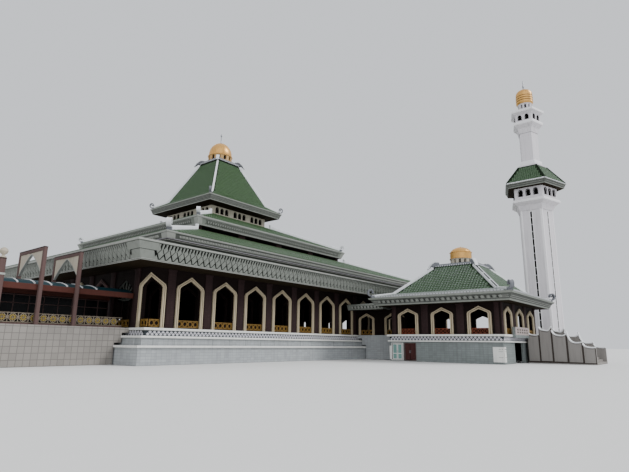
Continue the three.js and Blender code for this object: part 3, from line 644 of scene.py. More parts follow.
class Nodes:
    """Short names for adding nodes to one material's tree."""

    def __init__(self, tree):
        self.tree = tree

    def add(self, kind, **values):
        """One shader node, with its settings by name and its inputs by number as i0, i1 and so on."""
        made = self.tree.nodes.new("ShaderNode" + kind)
        for key, value in values.items():
            if key[0] == "i" and key[1:].isdigit():
                self.put(value, made.inputs[int(key[1:])])
            else:
                setattr(made, key, value)
        return made

    def put(self, value, socket):
        """Links a socket, or sets its value."""
        if isinstance(value, bpy.types.NodeSocket):
            self.tree.links.new(value, socket)
        else:
            socket.default_value = value

    def sum(self, operation, a, b=0.0, c=0.0, clamp=False):
        """One Math node."""
        made = self.add("Math", operation=operation, use_clamp=clamp, i0=a, i1=b, i2=c)
        return made.outputs[0]

    def mix(self, share, a, b, blend="MIX"):
        """Two colours mixed."""
        made = self.add("Mix", data_type="RGBA", blend_type=blend)
        for index, value in ((0, share), (6, a), (7, b)):
            self.put(value, made.inputs[index])
        return made.outputs[2]


def wall_plane(n, place):
    """Sockets of (along, up): along is X on faces that look along Y, and Y on those that look along X."""
    looks = n.add("NewGeometry").outputs["Normal"]
    facing = n.add("SeparateXYZ", i0=looks).outputs
    axes = n.add("SeparateXYZ", i0=place).outputs
    side = n.sum("GREATER_THAN", n.sum("ABSOLUTE", facing[0]), n.sum("ABSOLUTE", facing[1]))
    top = n.sum("GREATER_THAN", n.sum("ABSOLUTE", facing[2]), 0.8)
    across = n.add("Mix", data_type="FLOAT", i0=side, i2=axes[0], i3=axes[1]).outputs[0]
    up = n.add("Mix", data_type="FLOAT", i0=top, i2=axes[2], i3=axes[1]).outputs[0]
    return across, up


def darker(tone, share):
    """A colour at a share of its light."""
    return tuple(float(part) * share for part in tone[:3]) + (1.0,)


def noise(n, place, scale, detail, drawn=None):
    """A noise over the piece, drawn out along each axis where three factors are given."""
    if drawn:
        place = n.add("Mapping", i0=place, i3=drawn).outputs[0]
    return n.add("TexNoise", i0=place, i2=scale, i3=detail).outputs[0]


def streaked(n, place, tone, dark):
    """Stains that run down a piece: a noise drawn out upwards darkens the tone where it is strong."""
    run = noise(n, place, 2.2, 4.0, (14.0, 14.0, 1.1))
    stain = n.sum("MULTIPLY_ADD", run, 2.4, -1.15, clamp=True)
    return n.mix(n.sum("MULTIPLY", stain, 0.5), tone, darker(dark, 0.62))


def tiled(n, place, tone, height, base, finish):
    """Tiles in straight rows and columns, some a little darker, with sunk joints between them."""
    wide, high = finish["tile"]
    across, up = wall_plane(n, place)
    flat = n.add("CombineXYZ", i0=across, i1=up).outputs[0]
    grey, white, black = (0.75,) * 3 + (1,), (1,) * 4, (0,) * 3 + (1,)
    brick = n.add("TexBrick", offset=0.0, squash=1.0, i0=flat, i1=grey, i2=white, i3=black,
                  i4=1.0, i5=high * 0.05, i6=0.2, i7=0.0, i8=wide, i9=high)
    tone = n.mix(0.6, tone, brick.outputs[0], "MULTIPLY")
    tone = n.mix(brick.outputs[1], tone, darker(base, finish["joint"] ** 2))
    return tone, n.sum("SUBTRACT", height, n.sum("MULTIPLY", brick.outputs[1], 2.0))


def boarded(n, place, tone, height, dark, wide):
    """Boards with dark sunk seams: both axes count up and down by the board's width and length, and a seam
    is where a count is near its turn."""
    axes = n.add("SeparateXYZ", i0=place).outputs
    lines = n.sum("LESS_THAN", n.sum("PINGPONG", axes[0], wide), wide * 0.06)
    cross = n.sum("LESS_THAN", n.sum("PINGPONG", axes[1], wide * 5.2), wide * 0.1)
    seam = n.sum("MAXIMUM", lines, cross)
    return n.mix(seam, tone, darker(dark, 0.5)), n.sum("SUBTRACT", height, seam)


def material(name):
    """The finish of that name as a material: two tones mixed by a soft and a fine noise, with streaks, tiles,
    boards or the grain of wood over them."""
    ready = bpy.data.materials.get(name)
    if ready:
        return ready
    finish = FINISHES[name]
    base = tuple(getattr(sizes("colours"), name))
    dark = darker(base, finish["shade"])
    made = bpy.data.materials.new(name)
    made.use_nodes = True
    made.node_tree.nodes.clear()
    made.diffuse_color = base
    n = Nodes(made.node_tree)
    place = n.add("TexCoord").outputs["Object"]
    soft, fine = noise(n, place, finish["grain"] * 0.35, 3.0), noise(n, place, finish["grain"] * 9.0, 4.0)
    share = n.sum("MULTIPLY_ADD", fine, 0.5, n.sum("MULTIPLY", soft, 0.9))
    tone = n.mix(n.sum("SUBTRACT", share, 0.2, clamp=True), dark, base)
    height = fine
    if finish.get("streaks"):
        tone = streaked(n, place, tone, dark)
    if finish.get("tile"):
        tone, height = tiled(n, place, tone, height, base, finish)
    if finish.get("boards"):
        tone, height = boarded(n, place, tone, height, dark, finish["boards"])
    if finish.get("wood"):
        tone = n.mix(noise(n, place, 3.0, 5.0, (60.0, 60.0, 4.0)), dark, base)
    shader = n.add("BsdfPrincipled")
    n.put(tone, shader.inputs["Base Color"])
    shader.inputs["Metallic"].default_value = finish.get("metal", 0.0)
    shader.inputs["Specular IOR Level"].default_value = finish.get("shine", 0.3)
    gloss = n.sum("MULTIPLY_ADD", fine, 0.2, finish["rough"] - 0.1, clamp=True)
    n.put(gloss, shader.inputs["Roughness"])
    bump = n.add("Bump")
    n.put(height, bump.inputs["Height"])
    bump.inputs["Strength"].default_value = finish["bump"]
    bump.inputs["Distance"].default_value = 0.004
    n.put(bump.outputs[0], shader.inputs["Normal"])
    n.add("OutputMaterial", i0=shader.outputs[0])
    return made


# Builders for what repeats.


def arch_frame(inner, outer, out, corner=False):
    """The band between an arch's inner and outer lines, as (frame, groove): two raised bands with a sunk
    one between them, carried from one foot over the tip to the other. At a wall's corner only the half on
    the wall is made, with its tip mitred to the other half."""
    inner, outer = np.array(inner, float), np.array(outer, float)
    if not corner:
        flip = [-1, 1]
        inner = np.concatenate([inner[:-1] * flip, inner[::-1]])
        outer = np.concatenate([outer[:-1] * flip, outer[::-1]])
    bands = []
    for near, far, proud in ((0, 0.4, out), (0.6, 1, out), (0.4, 0.6, out * 0.6)):
        share = np.array([near, near + 0.03, far - 0.03, far])
        off = np.array([-0.01, proud, proud, -0.01])
        flat = inner[:, None] + (outer - inner)[:, None] * share[None, :, None]
        height = np.broadcast_to(off[None, :, None], flat.shape[:2] + (1,))
        points = np.concatenate([flat, height], -1)
        if corner:
            points[-1, :, 0] = -np.maximum(points[-1, :, 2], 0)
        caps = [np.arange(4)[None], np.arange(4)[None, ::-1] + (len(inner) - 1) * 4]
        bands.append((points.reshape(-1, 3), [grid(len(inner), 4, close_cols=True)] + caps))
    return joined(bands[:2]), bands[2]


def pilaster(half, low, high, out):
    """An upright strip on a wall with chamfered edges, a plinth and a neck, in (along, up, off)."""
    plan = both_halves([[-half, -0.01], [-half, out * 0.7], [-half * 0.85, out]])
    wide = plan * [1.12, 1.3]
    plinth, neck = prism(wide, low, low + 0.05), prism(wide, high - 0.04, high - 0.005)
    return joined([prism(plan, low, high), plinth, neck])


def star(x, y, size, width, depth, foot):
    """An eight-pointed star of two interlaced square frames."""
    turn = np.radians(np.arange(4) * 90)
    ends = []
    for first in (45, 0):
        square = np.column_stack([np.cos(turn + np.radians(first)), np.sin(turn + np.radians(first))])
        ends.append((square * size + [x, y], np.roll(square, -1, 0) * size + [x, y]))
    return joined([bars(p, q, width, depth, foot) for p, q in ends])


def crosses(middles, low, high, reach, width, depth, foot):
    """A cross between two distances up at each distance along."""
    p = np.concatenate([rows_of(middles - reach, low), rows_of(middles - reach, high)])
    q = np.concatenate([rows_of(middles + reach, high), rows_of(middles + reach, low)])
    return bars(p, q, width, depth, foot)


def rail_frame(half, low, high, depth, foot, wide=0.016):
    """The top and bottom rails and the end posts of a railing panel."""
    w = wide / 2
    return bars([[-half, high - w], [-half, low + w], [-half + w, low], [half - w, low]],
                [[half, high - w], [half, low + w], [-half + w, high], [half - w, high]], wide, depth, foot)


def star_railing(half, low, high, foot, depth, stars):
    """A railing panel with a row of stars and crosses between them."""
    mid = (low + high) / 2
    step = 2 * half / stars
    parts = [rail_frame(half, low, high, depth, foot)]
    parts += [star(x, mid, (high - low) * 0.42, 0.009, depth - 0.002, foot)
              for x in (np.arange(stars) + 0.5) * step - half]
    arm = (high - low) * 0.4
    gaps = np.arange(1, stars) * step - half
    if len(gaps):
        parts.append(crosses(gaps, mid - arm, mid + arm, arm * 0.5, 0.008, depth - 0.003, foot))
    return joined(parts)


def cross_railing(half, low, high, foot, depth, count):
    """A railing panel with a row of crosses between posts and a middle rail."""
    step = 2 * half / count
    middles = (np.arange(count) + 0.5) * step - half
    cross = crosses(middles, low + 0.012, high - 0.012, step * 0.46, 0.009, depth - 0.003, foot)
    posts = bars(rows_of(middles[1:] - step / 2, low), rows_of(middles[1:] - step / 2, high), 0.009,
                 depth - 0.001, foot)
    return joined([rail_frame(half, low, high, depth, foot), cross, posts])


def corner_blocks(line, low, high, wide_low, wide_high, depth):
    """Plain blocks at both ends of a side, on a sloping band between two distances up."""
    line = np.asarray(line, float)
    way = (line[-1] - line[0]) / np.linalg.norm(line[-1] - line[0])
    points = []
    for off in (0.0, depth):
        for up, wide in ((low, wide_low), (high, wide_high)):
            edge = half_at(line, up) + way[1] * off
            points += [[-edge, up, off], [-edge + wide, up, off]]
    points = np.array(points)[[0, 1, 3, 2, 4, 5, 7, 6]]
    block = (points, [grid(2, 4, close_cols=True), np.array([[0, 1, 2, 3], [7, 6, 5, 4]])])
    return on_line(joined([block, mirrored(block)]), line)


def tiles(line, pitch, course, rise, margin, sides=4):
    """Barrel tiles on one sloping side of an even plan: each is a short half round, wider at its lower end,
    laid in courses up the slope. Only those between the hips are laid. A side's half length is its half
    width times the tangent of half the turn between sides. The second and third face lists are the lower
    ends."""
    share = np.tan(np.pi / sides)
    rows = int(length_of(line) / course)
    widest = half_at(line, 0) * share
    columns = np.arange(-int(widest / pitch), int(widest / pitch) + 1) * pitch
    at, low = (a.ravel() for a in np.meshgrid(columns, np.arange(rows) * course, indexing="ij"))
    inside = np.abs(at) + pitch * 0.5 < half_at(line, low + course) * share - margin
    at, low = at[inside], low[inside]
    bow = np.array([[-0.46, 0], [-0.34, 0.72], [0, 1.0], [0.34, 0.72], [0.46, 0]])
    lower = np.column_stack([bow[:, 0] * pitch, np.full(5, -0.1 * course), bow[:, 1] * rise])
    upper = np.column_stack([bow[:, 0] * pitch * 0.86, np.full(5, course), bow[:, 1] * rise * 0.6])
    ends = [np.array([face]) for face in ([0, 1, 3, 4], [1, 2, 3], [9, 8, 6, 5], [8, 7, 6])]
    one = (np.concatenate([lower, upper]), [grid(2, 5, close_cols=True)] + ends)
    return on_line(repeated(one, on_face(np.column_stack([at, low]))), line)


def hip_path(points, step=0.08):
    """A hip's line of (half width, height) points, as places in the upright plane along X, where the
    distance out is the half width times the root of two."""
    points = np.asarray(points, float) * [ROOT_2, 1]
    run = run_of(points)
    at = np.unique(np.concatenate([run, np.arange(0, run[-1], step)]))
    return out_up(np.interp(at, run, points[:, 0]), np.interp(at, run, points[:, 1]))


def bar_hip(points, wide, high):
    """A round-topped ridge bar along a hip."""
    w = wide / 2
    return carried(both_halves([[-w, -high], [-w, high * 0.6], [-w * 0.6, high]]), hip_path(points))


def ladder_hip(points, wide, high, pitch, thick=0.012):
    """A hip of two rails with rungs between them over a bed, as (rails and rungs, bed). A rung is a box
    whose length is level, turned to the slope of the part of the hip that it stands on."""
    w, h = wide / 2, high
    path = hip_path(points)
    rail = both_halves([[-0.2, -h], [-0.2, h * 0.8], [-0.1, h]]) * [w, 1]
    rails = [carried(rail + [side * w * 0.8, 0], path) for side in (-1, 1)]
    way, run = np.diff(path, axis=0), run_of(path)
    spots = np.arange(pitch, run[-1] - pitch * 0.5, pitch)
    part = np.searchsorted(run, spots, side="right") - 1
    slope = way[part] / np.linalg.norm(way[part], axis=1, keepdims=True)
    at = path[part] + slope * (spots - run[part])[:, None]
    up = np.column_stack([-slope[:, 2], np.zeros(len(spots)), slope[:, 0]])
    up *= np.where(up[:, 2:] < 0, -1, 1)
    cube = np.array([[a, b, c] for a in (-thick, thick) for b in (-w * 0.7, w * 0.7) for c in (0, h * 0.75)])
    rung = at[:, None] + cube[None, :, :1] * slope[:, None] + cube[None, :, 2:] * up[:, None]
    rung[:, :, 1] = cube[None, :, 1]
    box = np.array([[0, 1, 3, 2], [4, 6, 7, 5], [0, 4, 5, 1], [2, 3, 7, 6], [0, 2, 6, 4], [1, 5, 7, 3]])
    steps = np.arange(len(spots))[:, None, None] * 8
    rungs = rung.reshape(-1, 3), [(box[None] + steps).reshape(-1, 4)]
    return joined(rails + [rungs]), carried(slab(w * 0.7, -h, h * 0.3), path)


def curl(half, high, size, wide):
    """A finial at a hip's tip, as (post, band, eye): a post carries a band that runs out, up and back over
    itself along a shrinking arc. Rims follow both its edges, a slot parts it near its top, and a ball
    stands in its eye."""
    tip = half * ROOT_2
    turn = np.radians(np.linspace(-80, 205, 24))
    shrink = np.linspace(0.5, 0.27, 24) * size
    eye = np.array([tip + 0.2 * size, high + 0.6 * size])
    path = out_up(eye[0] + shrink * np.cos(turn), eye[1] + shrink * np.sin(turn) * 1.1)
    w, t = wide / 2, size * 0.07
    band = [carried(slab(w, -t, t), some) for some in (path[:12], path[15:])]
    edge = slab(0.16, -1.3, 1.3) * [w, t]
    rims = [carried(edge + [side * w, 0], path) for side in (-1, 1)]
    ball = lathe(np.array([[0, -0.14], [0.1, -0.1], [0.14, 0], [0.1, 0.1], [0, 0.14]]) * size, 12)
    post = prism(np.array([[-0.34, -0.5], [0.16, -0.42], [0.2, 0.14], [-0.34, 0.14]]) * size + [tip, high],
                 -w * 1.2, w * 1.2, "y")
    return post, joined(band + rims), moved(ball, eye[0], 0, eye[1])


def horn(half, low, size, wide):
    """A ridge-end horn that droops down its hip, as (body, rim). Its outline, in units of its size from the
    ridge's corner, is drawn smoothly along its back, and a white bead runs along that."""
    back = rounded(np.array([[-0.67, 0.56], [-0.147, 0.62], [0.353, 0.226], [0.56, -0.12], [0.663, -0.31]]))
    under = np.array([[0.448, -0.167], [0.186, 0.071], [-0.016, 0.024], [-0.72, 0.024], [-0.766, 0.2]])
    start = np.array([half * ROOT_2, low])
    body = prism(np.concatenate([back, under]) * size + start, -wide / 2, wide / 2, "y")
    line = back[2:-2] * size + start
    w = wide / 2
    return body, carried(slab(w * 1.06, -w * 0.4, w * 0.16), out_up(*line.T))


def spaced(low, high, pitch):
    """Middles at the pitch, centred between two ends."""
    count = max(int((high - low) / pitch), 1)
    return (low + high) / 2 + (np.arange(count) - (count - 1) / 2) * pitch


def rows_of(middles, up):
    """Places of one row, at a distance up."""
    return np.column_stack([middles, np.full(len(middles), up)])


# The hall.


def both_ends(shape):
    """A shape that belongs to a corner's half arch, at both ends of the arcade's wall."""
    left = moved(shape, x=-ARCADE)
    return joined([left, mirrored(left)])


def arcade():
    """Frames, pilasters and railings of the hall's arcade, repeated once a bay along each wall. The arch next
    to the front corner on the left side has tracery instead of a frame, and the next one's frame is dark
    brown, painted shade from the walkway's canopy."""
    wall = upright(ARCADE)
    out = bays("hall", "frame_out")
    middles = np.arange(1, BAYS) - ARCADE
    corner_parts = arch_frame(HALL_INNER, HALL_OUTER, out, corner=True)
    plain_parts = arch_frame(HALL_INNER, HALL_OUTER, out)
    built = []
    for plain, corner in zip(plain_parts, corner_parts):
        full = on_line(joined([along(plain, middles), both_ends(corner)]), wall)
        left = on_line(joined([along(plain, middles[:-2]), both_ends(corner)]), wall)
        built.append(joined([full, turned(full, 90), turned(full, 180), turned(left, -90)]))
    # The left side's second arch from the front corner has its frame in the portals' brown, as painted shade
    # from the walkway's canopy.
    shaded_frame = turned(on_line(moved(plain_parts[0], x=middles[-2]), wall), -90)
    parts = [(built[0], "arch_frame"), (built[1], "frame_groove"), (shaded_frame, "post")]
    piece("hall_arch_frames", parts, HALL)
    posts = pilaster(bays("hall", "pilaster"), 0, SOFFIT - 0.005, 0.03)
    posts = along(posts, np.arange(BAYS) + 0.5 - ARCADE)
    piece("hall_pilasters", [(on_sides(posts, wall), "pilaster")], HALL)
    stars = sizes("hall").stars
    wide, short = 0.283, 0.118
    rails = along(star_railing(wide, *HALL_RAIL, stars), middles)
    half_rail = moved(star_railing(short, *HALL_RAIL, max(stars // 2, 1)), x=wide - short)
    panels = on_sides(joined([rails, both_ends(half_rail)]), wall)
    piece("hall_railings", [(panels, "rail_gold")], HALL)
    ribs, pane = fan(HALL_INNER, 0.6, 9)
    at_last = [turned(on_line(moved(shape, x=middles[-1]), wall), -90) for shape in (ribs, pane)]
    # The pane behind the tracery is painted shade.
    piece("hall_fan_tracery", [(at_last[0], "fascia_green"), (at_last[1], "shadow")], HALL)


def fan(inner, low, ribs):
    """Tracery in an arch's head, as (ribs, pane): a sill, ribs that spread from its middle to the arch's line
    at equal angles, and a smaller arch that joins their middles. The pane is a sheet behind them, which is
    given painted shade where it is used."""
    inner = np.array(inner, float)
    outline = np.concatenate([inner[1:], inner[-2:0:-1] * [-1, 1]])
    turn = np.radians(np.linspace(8, 172, ribs))
    way = np.column_stack([np.cos(turn), np.sin(turn)])
    tips = way * rim_distance(outline, low, way)[:, None]
    start, mid, end = (line + [0, low] for line in (way * 0.03, tips * 0.5, tips))
    sill = bars([[-inner[0, 0] * 0.5, low]], [[inner[0, 0] * 0.5, low]], 0.016, -0.03, -0.06)
    bent = bars(mid[:-1], mid[1:], 0.014, -0.026, -0.06)
    rim = bars(outline[:-1], outline[1:], 0.03, -0.022, -0.06)
    foot = low - 0.02
    pane = prism(np.concatenate([[[inner[0, 0], foot]], outline, [[-inner[0, 0], foot]]]), -0.075, -0.05, "z")
    return joined([sill, rim, bars(start, end, 0.022, -0.024, -0.06), bent]), pane


def rim_distance(outline, low, way, tiny=1e-6):
    """How far it is from the middle of a sill to an arch's line, in each direction: the nearest crossing of
    the ray with the line's straight parts, or with the opening's upright side."""
    x, y = way[:, :1], way[:, 1:]
    a, step = outline[:-1] - [0, low], np.diff(outline, axis=0)
    cross = x * step[:, 1] - y * step[:, 0]
    cross = np.where(np.abs(cross) < 1e-9, 1e-9, cross)
    reach = (a[:, 0] * step[:, 1] - a[:, 1] * step[:, 0]) / cross
    share = (a[:, 0] * y - a[:, 1] * x) / cross
    good = (share > -tiny) & (share < 1 + tiny) & (reach > 0)
    side = outline[0, 0] / np.maximum(np.abs(way[:, 0]), tiny)
    return np.minimum(np.where(good, reach, np.inf).min(1), side)


def inner_frames():
    """Frames round the arches of the inner wall, seen through the arcade, in a dark brown with near-black
    grooves: painted shade behind the verandah.
    """
    frame_of, groove_of = arch_frame(HALL_INNER, HALL_OUTER, 0.03)
    middles = np.arange(14) - 6.5
    built = [on_sides(along(shape, middles), upright(INNER)) for shape in (frame_of, groove_of)]
    piece("inner_arch_frames", [(built[0], "post_dark"), (built[1], "shadow")], HALL)


def ledge_ring(half, top, low, back, proud):
    """A ledge with rounded edges round a podium."""
    return ring([[half - back, top + 0.003], [half + proud / 2, top + 0.003], [half + proud, top - 0.006],
                 [half + proud, low + 0.006], [half + proud / 3, low - 0.003], [half - back, low - 0.003]])


def diamond_rows(low, high, pitch, half_wide, half_high, depth):
    """Two staggered rows of diamonds between two ends, in (along, up, off)."""
    even = spaced(low, high, pitch)
    places = [rows_of(even, 0.036), rows_of(even[:-1] + pitch / 2, 0.079)]
    return lozenges(np.concatenate(places), half_wide, half_high, depth, 0.004)


def frieze(half, reach, pitch):
    """The frieze round a podium's foot wall at a half width, as (diamonds, ground)."""
    rows = diamond_rows(-reach, reach, pitch, pitch * 0.42, 0.033, 0.012)
    ground = ring(rect(half - 0.02, -0.159, half + 0.004, -0.046))
    return on_sides(rows, [[half, -0.16], [half, -0.045]]), ground


def hall_base():
    """White ledges and the diamond frieze of the hall's podium."""
    ledges = [ledge_ring(half, top, low, 0.16, 0.012) for half, top, low in
              ((8.65, 0.0, -0.045), (8.80, -0.16, -0.2), (8.95, -0.35, -0.39))]
    piece("hall_ledges", [(joined(ledges), "ledge")], HALL)
    white, ground = frieze(8.62, 8.6, bays("hall", "frieze"))
    lower = [[8.77, -0.35], [8.77, -0.2]]
    joints = np.arange(-17, 18) * 0.5
    ribs = on_sides(bars(rows_of(joints, 0.0), rows_of(joints, 0.15), 0.03, 0.008), lower)
    piece("hall_diamond_frieze", [(white, "pattern_white"), (ground, "slate"), (ribs, "podium")], HALL)


def lattice():
    """The lattice fascia round the hall: a sunk dark band, painted as the shade behind the lattice's
    openings, with bars side by side in its top third, which run into pointed lozenges below, points at its
    foot, plain blocks at the corners and a double moulding under it, whose dark strips are painted shadow
    lines."""
    # The dark strips of the double moulding are painted shadow lines, and the band's dark ground is painted
    # shade behind the lattice.
    rows = [(9.112, 1.258), (9.18, 1.258, "fascia_pale"), (9.186, 1.27, "fascia_dark"),
            (9.177, 1.273, "fascia_dark"), (9.19, 1.277, "fascia_pale"), (9.195, 1.29, "fascia"),
            (9.176, 1.298, "fascia_dark"), (9.329, 1.592, "fascia"), (9.356, 1.6, "fascia_pale"),
            (9.368, 1.635, "fascia"), (9.3, 1.635, "fascia")]
    shell, finishes = strips(rows)
    band = [row[:2] for row in rows[6:8]]
    reach = length_of(band)
    pitch = bays("hall", "lattice")
    even = spaced(-8.92, 8.92, pitch)
    odd = np.concatenate([even - pitch / 2, even[-1:] + pitch / 2])
    uprights = np.concatenate([even, odd])
    mid, top = reach * 0.36, reach * 0.64
    teeth = [[-pitch * 0.36, 0.004], [pitch * 0.36, 0.004], [0, reach * 0.27]]
    shapes = [
        bars(rows_of(uprights, top), rows_of(uprights, reach - 0.004), pitch * 0.21, 0.02),
        lozenges(rows_of(even, mid), pitch * 0.41, mid - 0.012, 0.017, 0.006),
        lozenges(rows_of(even, mid), pitch * 0.2, mid * 0.45, 0.023, 0.008, 0.015),
        lozenges(rows_of(odd, top), pitch * 0.33, reach * 0.26, 0.016, 0.006),
        along(prism(teeth, 0.0, 0.016, "z", 0.005), odd),
    ]
    groove = reach * 0.52
    blocks = [around(corner_blocks(band, *span, 0.019)) for span in
              ((0.0, groove, 0.30, 0.30), (groove + 0.012, reach, 0.43, 0.43))]
    net = on_sides(joined(shapes), band)
    piece("hall_lattice_fascia", [(shell, finishes), (net, "fascia"), (joined(blocks), "fascia")], HALL,
          nodes=["lattice_fascia"])


# The roofs. Each shell is rows of (half width, height, finish of the strip that starts there).


def eaves(name, band, reach):
    """The marks on one roof's fascia, as (shape, finish) pairs on one side of the plan."""
    pitch = bays("roofs", "chain")
    half = half_at(band, 0)
    if name == "tier1":
        pitch = pitch * 0.85
        middles = spaced(-half + 0.3, half - 0.3, pitch)
        marks = lozenges(rows_of(middles, reach / 2), 0.034, 0.042, 0.014, 0.012)
        links = crosses(middles[:-1] + pitch / 2, reach * 0.22, reach * 0.78, 0.014, 0.009, 0.01, 0.0)
        return [(marks, "fascia_pale"), (links, "fascia_pale")]
    if name == "tier2":
        middles = spaced(-half + 0.26, half - 0.26, pitch)
        chain = crosses(middles, reach * 0.1, reach * 0.9, pitch / 2, 0.013, 0.012, 0.0)
        ups = [reach * 0.05, reach * 0.95]
        edges = bars([[-half + 0.22, up] for up in ups], [[half - 0.22, up] for up in ups], 0.014, 0.012)
        dots = lozenges(rows_of(middles[:-1] + pitch / 2, reach / 2), pitch * 0.3, reach * 0.26, 0.014, 0.006)
        return [(chain, "fascia_green"), (edges, "fascia_pale"), (dots, "fascia_pale")]
    lines = [reach * share for share in ((0.25, 0.55, 0.8) if name == "tier3" else (0.3, 0.62))]
    fine = bars([[-half, up] for up in lines], [[half, up] for up in lines], 0.01, 0.006)
    return [(fine, "fascia_pale")]


def roof(name, at):
    """One roof: its shell with fascia and soffit, the fascia's marks, courses of tiles, hips and curls. The
    pavilion's tiles are weathered, their pale lower ends are a painted highlight, and its hips are laddered
    above their bend."""
    size = ROOFS[name]
    rows = size["shell"]
    shell, finishes = strips(rows)
    band = [row[:2] for row in rows[size["band"]:size["band"] + 2]]
    reach = length_of(band)
    parts = [(shell, finishes)]
    for shape, finish in eaves(name, band, reach):
        parts.append((on_sides(shape, band), finish))
    if size["blocks"]:
        parts.append((around(corner_blocks(band, 0.0, reach, *size["blocks"], 0.015)), "fascia_pale"))
    if name == "pavilion":
        parts += pavilion_chain(band, reach)
    piece(name + "_eaves", parts, at, nodes=[name + "_roof"])
    first = finishes.index("roof_pan")
    slope = [row[:2] for row in rows[first:first + finishes.count("roof_pan") + 1]]
    # On the pavilion the tiles' lower ends get the pale finish: a painted highlight.
    tile, end, more = ("roof_pale", "pattern_white", 2.1) if name == "pavilion" else ("roof", "roof", 1)
    laid = tiles(slope, bays("roofs", name), size["course"], bays("roofs", "rise") * more,
                 size["wide"] * 0.55)
    piece(name + "_tiles", [(around(laid), [tile, end, end, tile, tile] * 4)], at)
    wide, high, hip = size["wide"], size["high"], size["hip"]
    if name == "pavilion":
        white, bed = ladder_hip(hip[1:], wide, high, wide * 4)
        parts = [(at_corners(joined([white, bar_hip(hip[:2], wide * 0.6, high)])), "ridge_white"),
                 (at_corners(bed), "fascia_dark")]
    else:
        parts = [(at_corners(bar_hip(hip, wide, high)), "ridge_white")]
    if size["knob"]:
        end = hip_path(hip)[-1]
        knob = lathe([[0, -0.05], [0.055, -0.045], [0.06, 0.06], [0.07, 0.085], [0.055, 0.11], [0, 0.125]],
                     12)
        parts.append((at_corners(moved(knob, end[0] + 0.06, 0, end[2])), "ridge_white"))
    across = wide * (0.8 if name == "pavilion" else 1.1)
    post, white, eye = curl(hip[0][0], hip[0][1], size["curl"], across)
    tone = "curl" if name in ("pavilion", "tier3") else "ridge_white"
    parts += [(at_corners(white), tone), (at_corners(post), "curl"), (at_corners(eye), "fascia_dark")]
    piece(name + "_hips", parts, at)


def pavilion_chain(band, reach):
    """The chain of rounded marks between crosses on the pavilion's left and right fascias."""
    middles = spaced(-1.84, 1.84, 0.15)
    mid = reach / 2
    eight = np.radians(np.arange(8) * 45 + 22.5)
    disc = prism(np.column_stack([np.cos(eight) * 0.036, np.sin(eight) * 0.044]), 0.0, 0.013, "z", 0.01)
    marks = repeated(disc, on_face(rows_of(middles, mid)))
    dark = crosses(middles[:-1] + 0.075, mid - 0.045, mid + 0.045, 0.022, 0.012, 0.01, 0.0)
    both = [on_sides(shape, band, (-90, 90)) for shape in (marks, dark)]
    return [(both[0], "fascia"), (both[1], "fascia_dark")]


def clerestory():
    """Windows under the two upper roofs: arches between pale piers over a sill on top, whose dark surrounds
    and panes are painted shade, and slats in painted shade before dark panes below."""
    wall = upright(TOP_WALL)
    arch = [[0.075, 5.15], [0.075, 5.325], [0.048, 5.388], [0, 5.41]]
    wider = [[0.087, 5.14], [0.087, 5.33], [0.057, 5.4], [0, 5.424]]
    surround, _ = arch_frame(arch, wider, 0.01)
    piers = [moved(pilaster(half, 4.95, 5.465, 0.022), x=x) for x, half in
             ((-1.53, 0.05), (-0.512, 0.06), (0.512, 0.06), (1.53, 0.05))]
    sills = bars([[-1.58, 5.1]], [[1.58, 5.1]], 0.03, 0.02)
    cream = on_sides(joined([sills] + piers), wall)
    rims = on_sides(along(surround, TOP_WINDOWS), wall)
    # The window surrounds and the panes behind them are painted shade, which makes the windows read larger
    # and black.
    panes = ring(rect(1.54, 5.1, 1.574, 5.45))
    piece("top_windows", [(cream, "cream"), (rims, "shadow"), (panes, "shadow")], HALL)
    wall = upright(LOUVRE_WALL)
    ups = 3.575 + (np.arange(4) + 0.5) * 0.0242
    a = np.concatenate([rows_of(LOUVRES - 0.85, up) for up in ups])
    b = np.concatenate([rows_of(LOUVRES + 0.85, up) for up in ups])
    # The slats are painted shade.
    slats = bars(a, b, 0.012, -0.03, -0.07)
    dark = ring(rect(3.98, 3.55, 4.01, 3.68))
    piece("louvre_windows", [(on_sides(slats, wall), "shadow"), (dark, "dark_glass")], HALL)


def drum(name, at, finish, radius, low, high, count, posts):
    """A windowed drum: posts between a sill ring and a head ring, and glass behind them."""
    tall = high - low
    sill = lathe([[radius - 0.05, low], [radius + 0.02, low], [radius + 0.02, low + 0.2 * tall],
                  [radius, low + 0.28 * tall], [radius - 0.05, low + 0.28 * tall]], 48)
    head = lathe([[radius - 0.05, high - 0.14 * tall], [radius, high - 0.14 * tall],
                  [radius + 0.03, high - 0.05 * tall], [radius + 0.03, high], [radius - 0.05, high]], 48)
    plan = np.array([[-0.05, -1], [0.006, -1], [0.012, -0.6], [0.012, 0.6], [0.006, 1], [-0.05, 1]])
    post = prism(plan * [1, posts], low + 0.1 * tall, high - 0.05 * tall, "z")
    glass = lathe(rect(radius - 0.07, low, radius - 0.045, high), 32)
    shell = joined([sill, head, around(moved(post, x=radius), count)])
    parts = [(shell, finish), (glass, "dark_glass")]
    piece(name + "_drum_windows", parts, at, nodes=[name + "_drum"])


def gilded(profile, first, last, seams, wide=0.012):
    """A turned dome with raised seams down it at equal angles, along part of its profile."""
    profile = np.asarray(profile, float)
    seam = carried(slab(wide / 2, -0.01, wide * 0.4), out_up(*profile[first:last].T))
    return joined([lathe(profile, 64), around(seam, seams)])


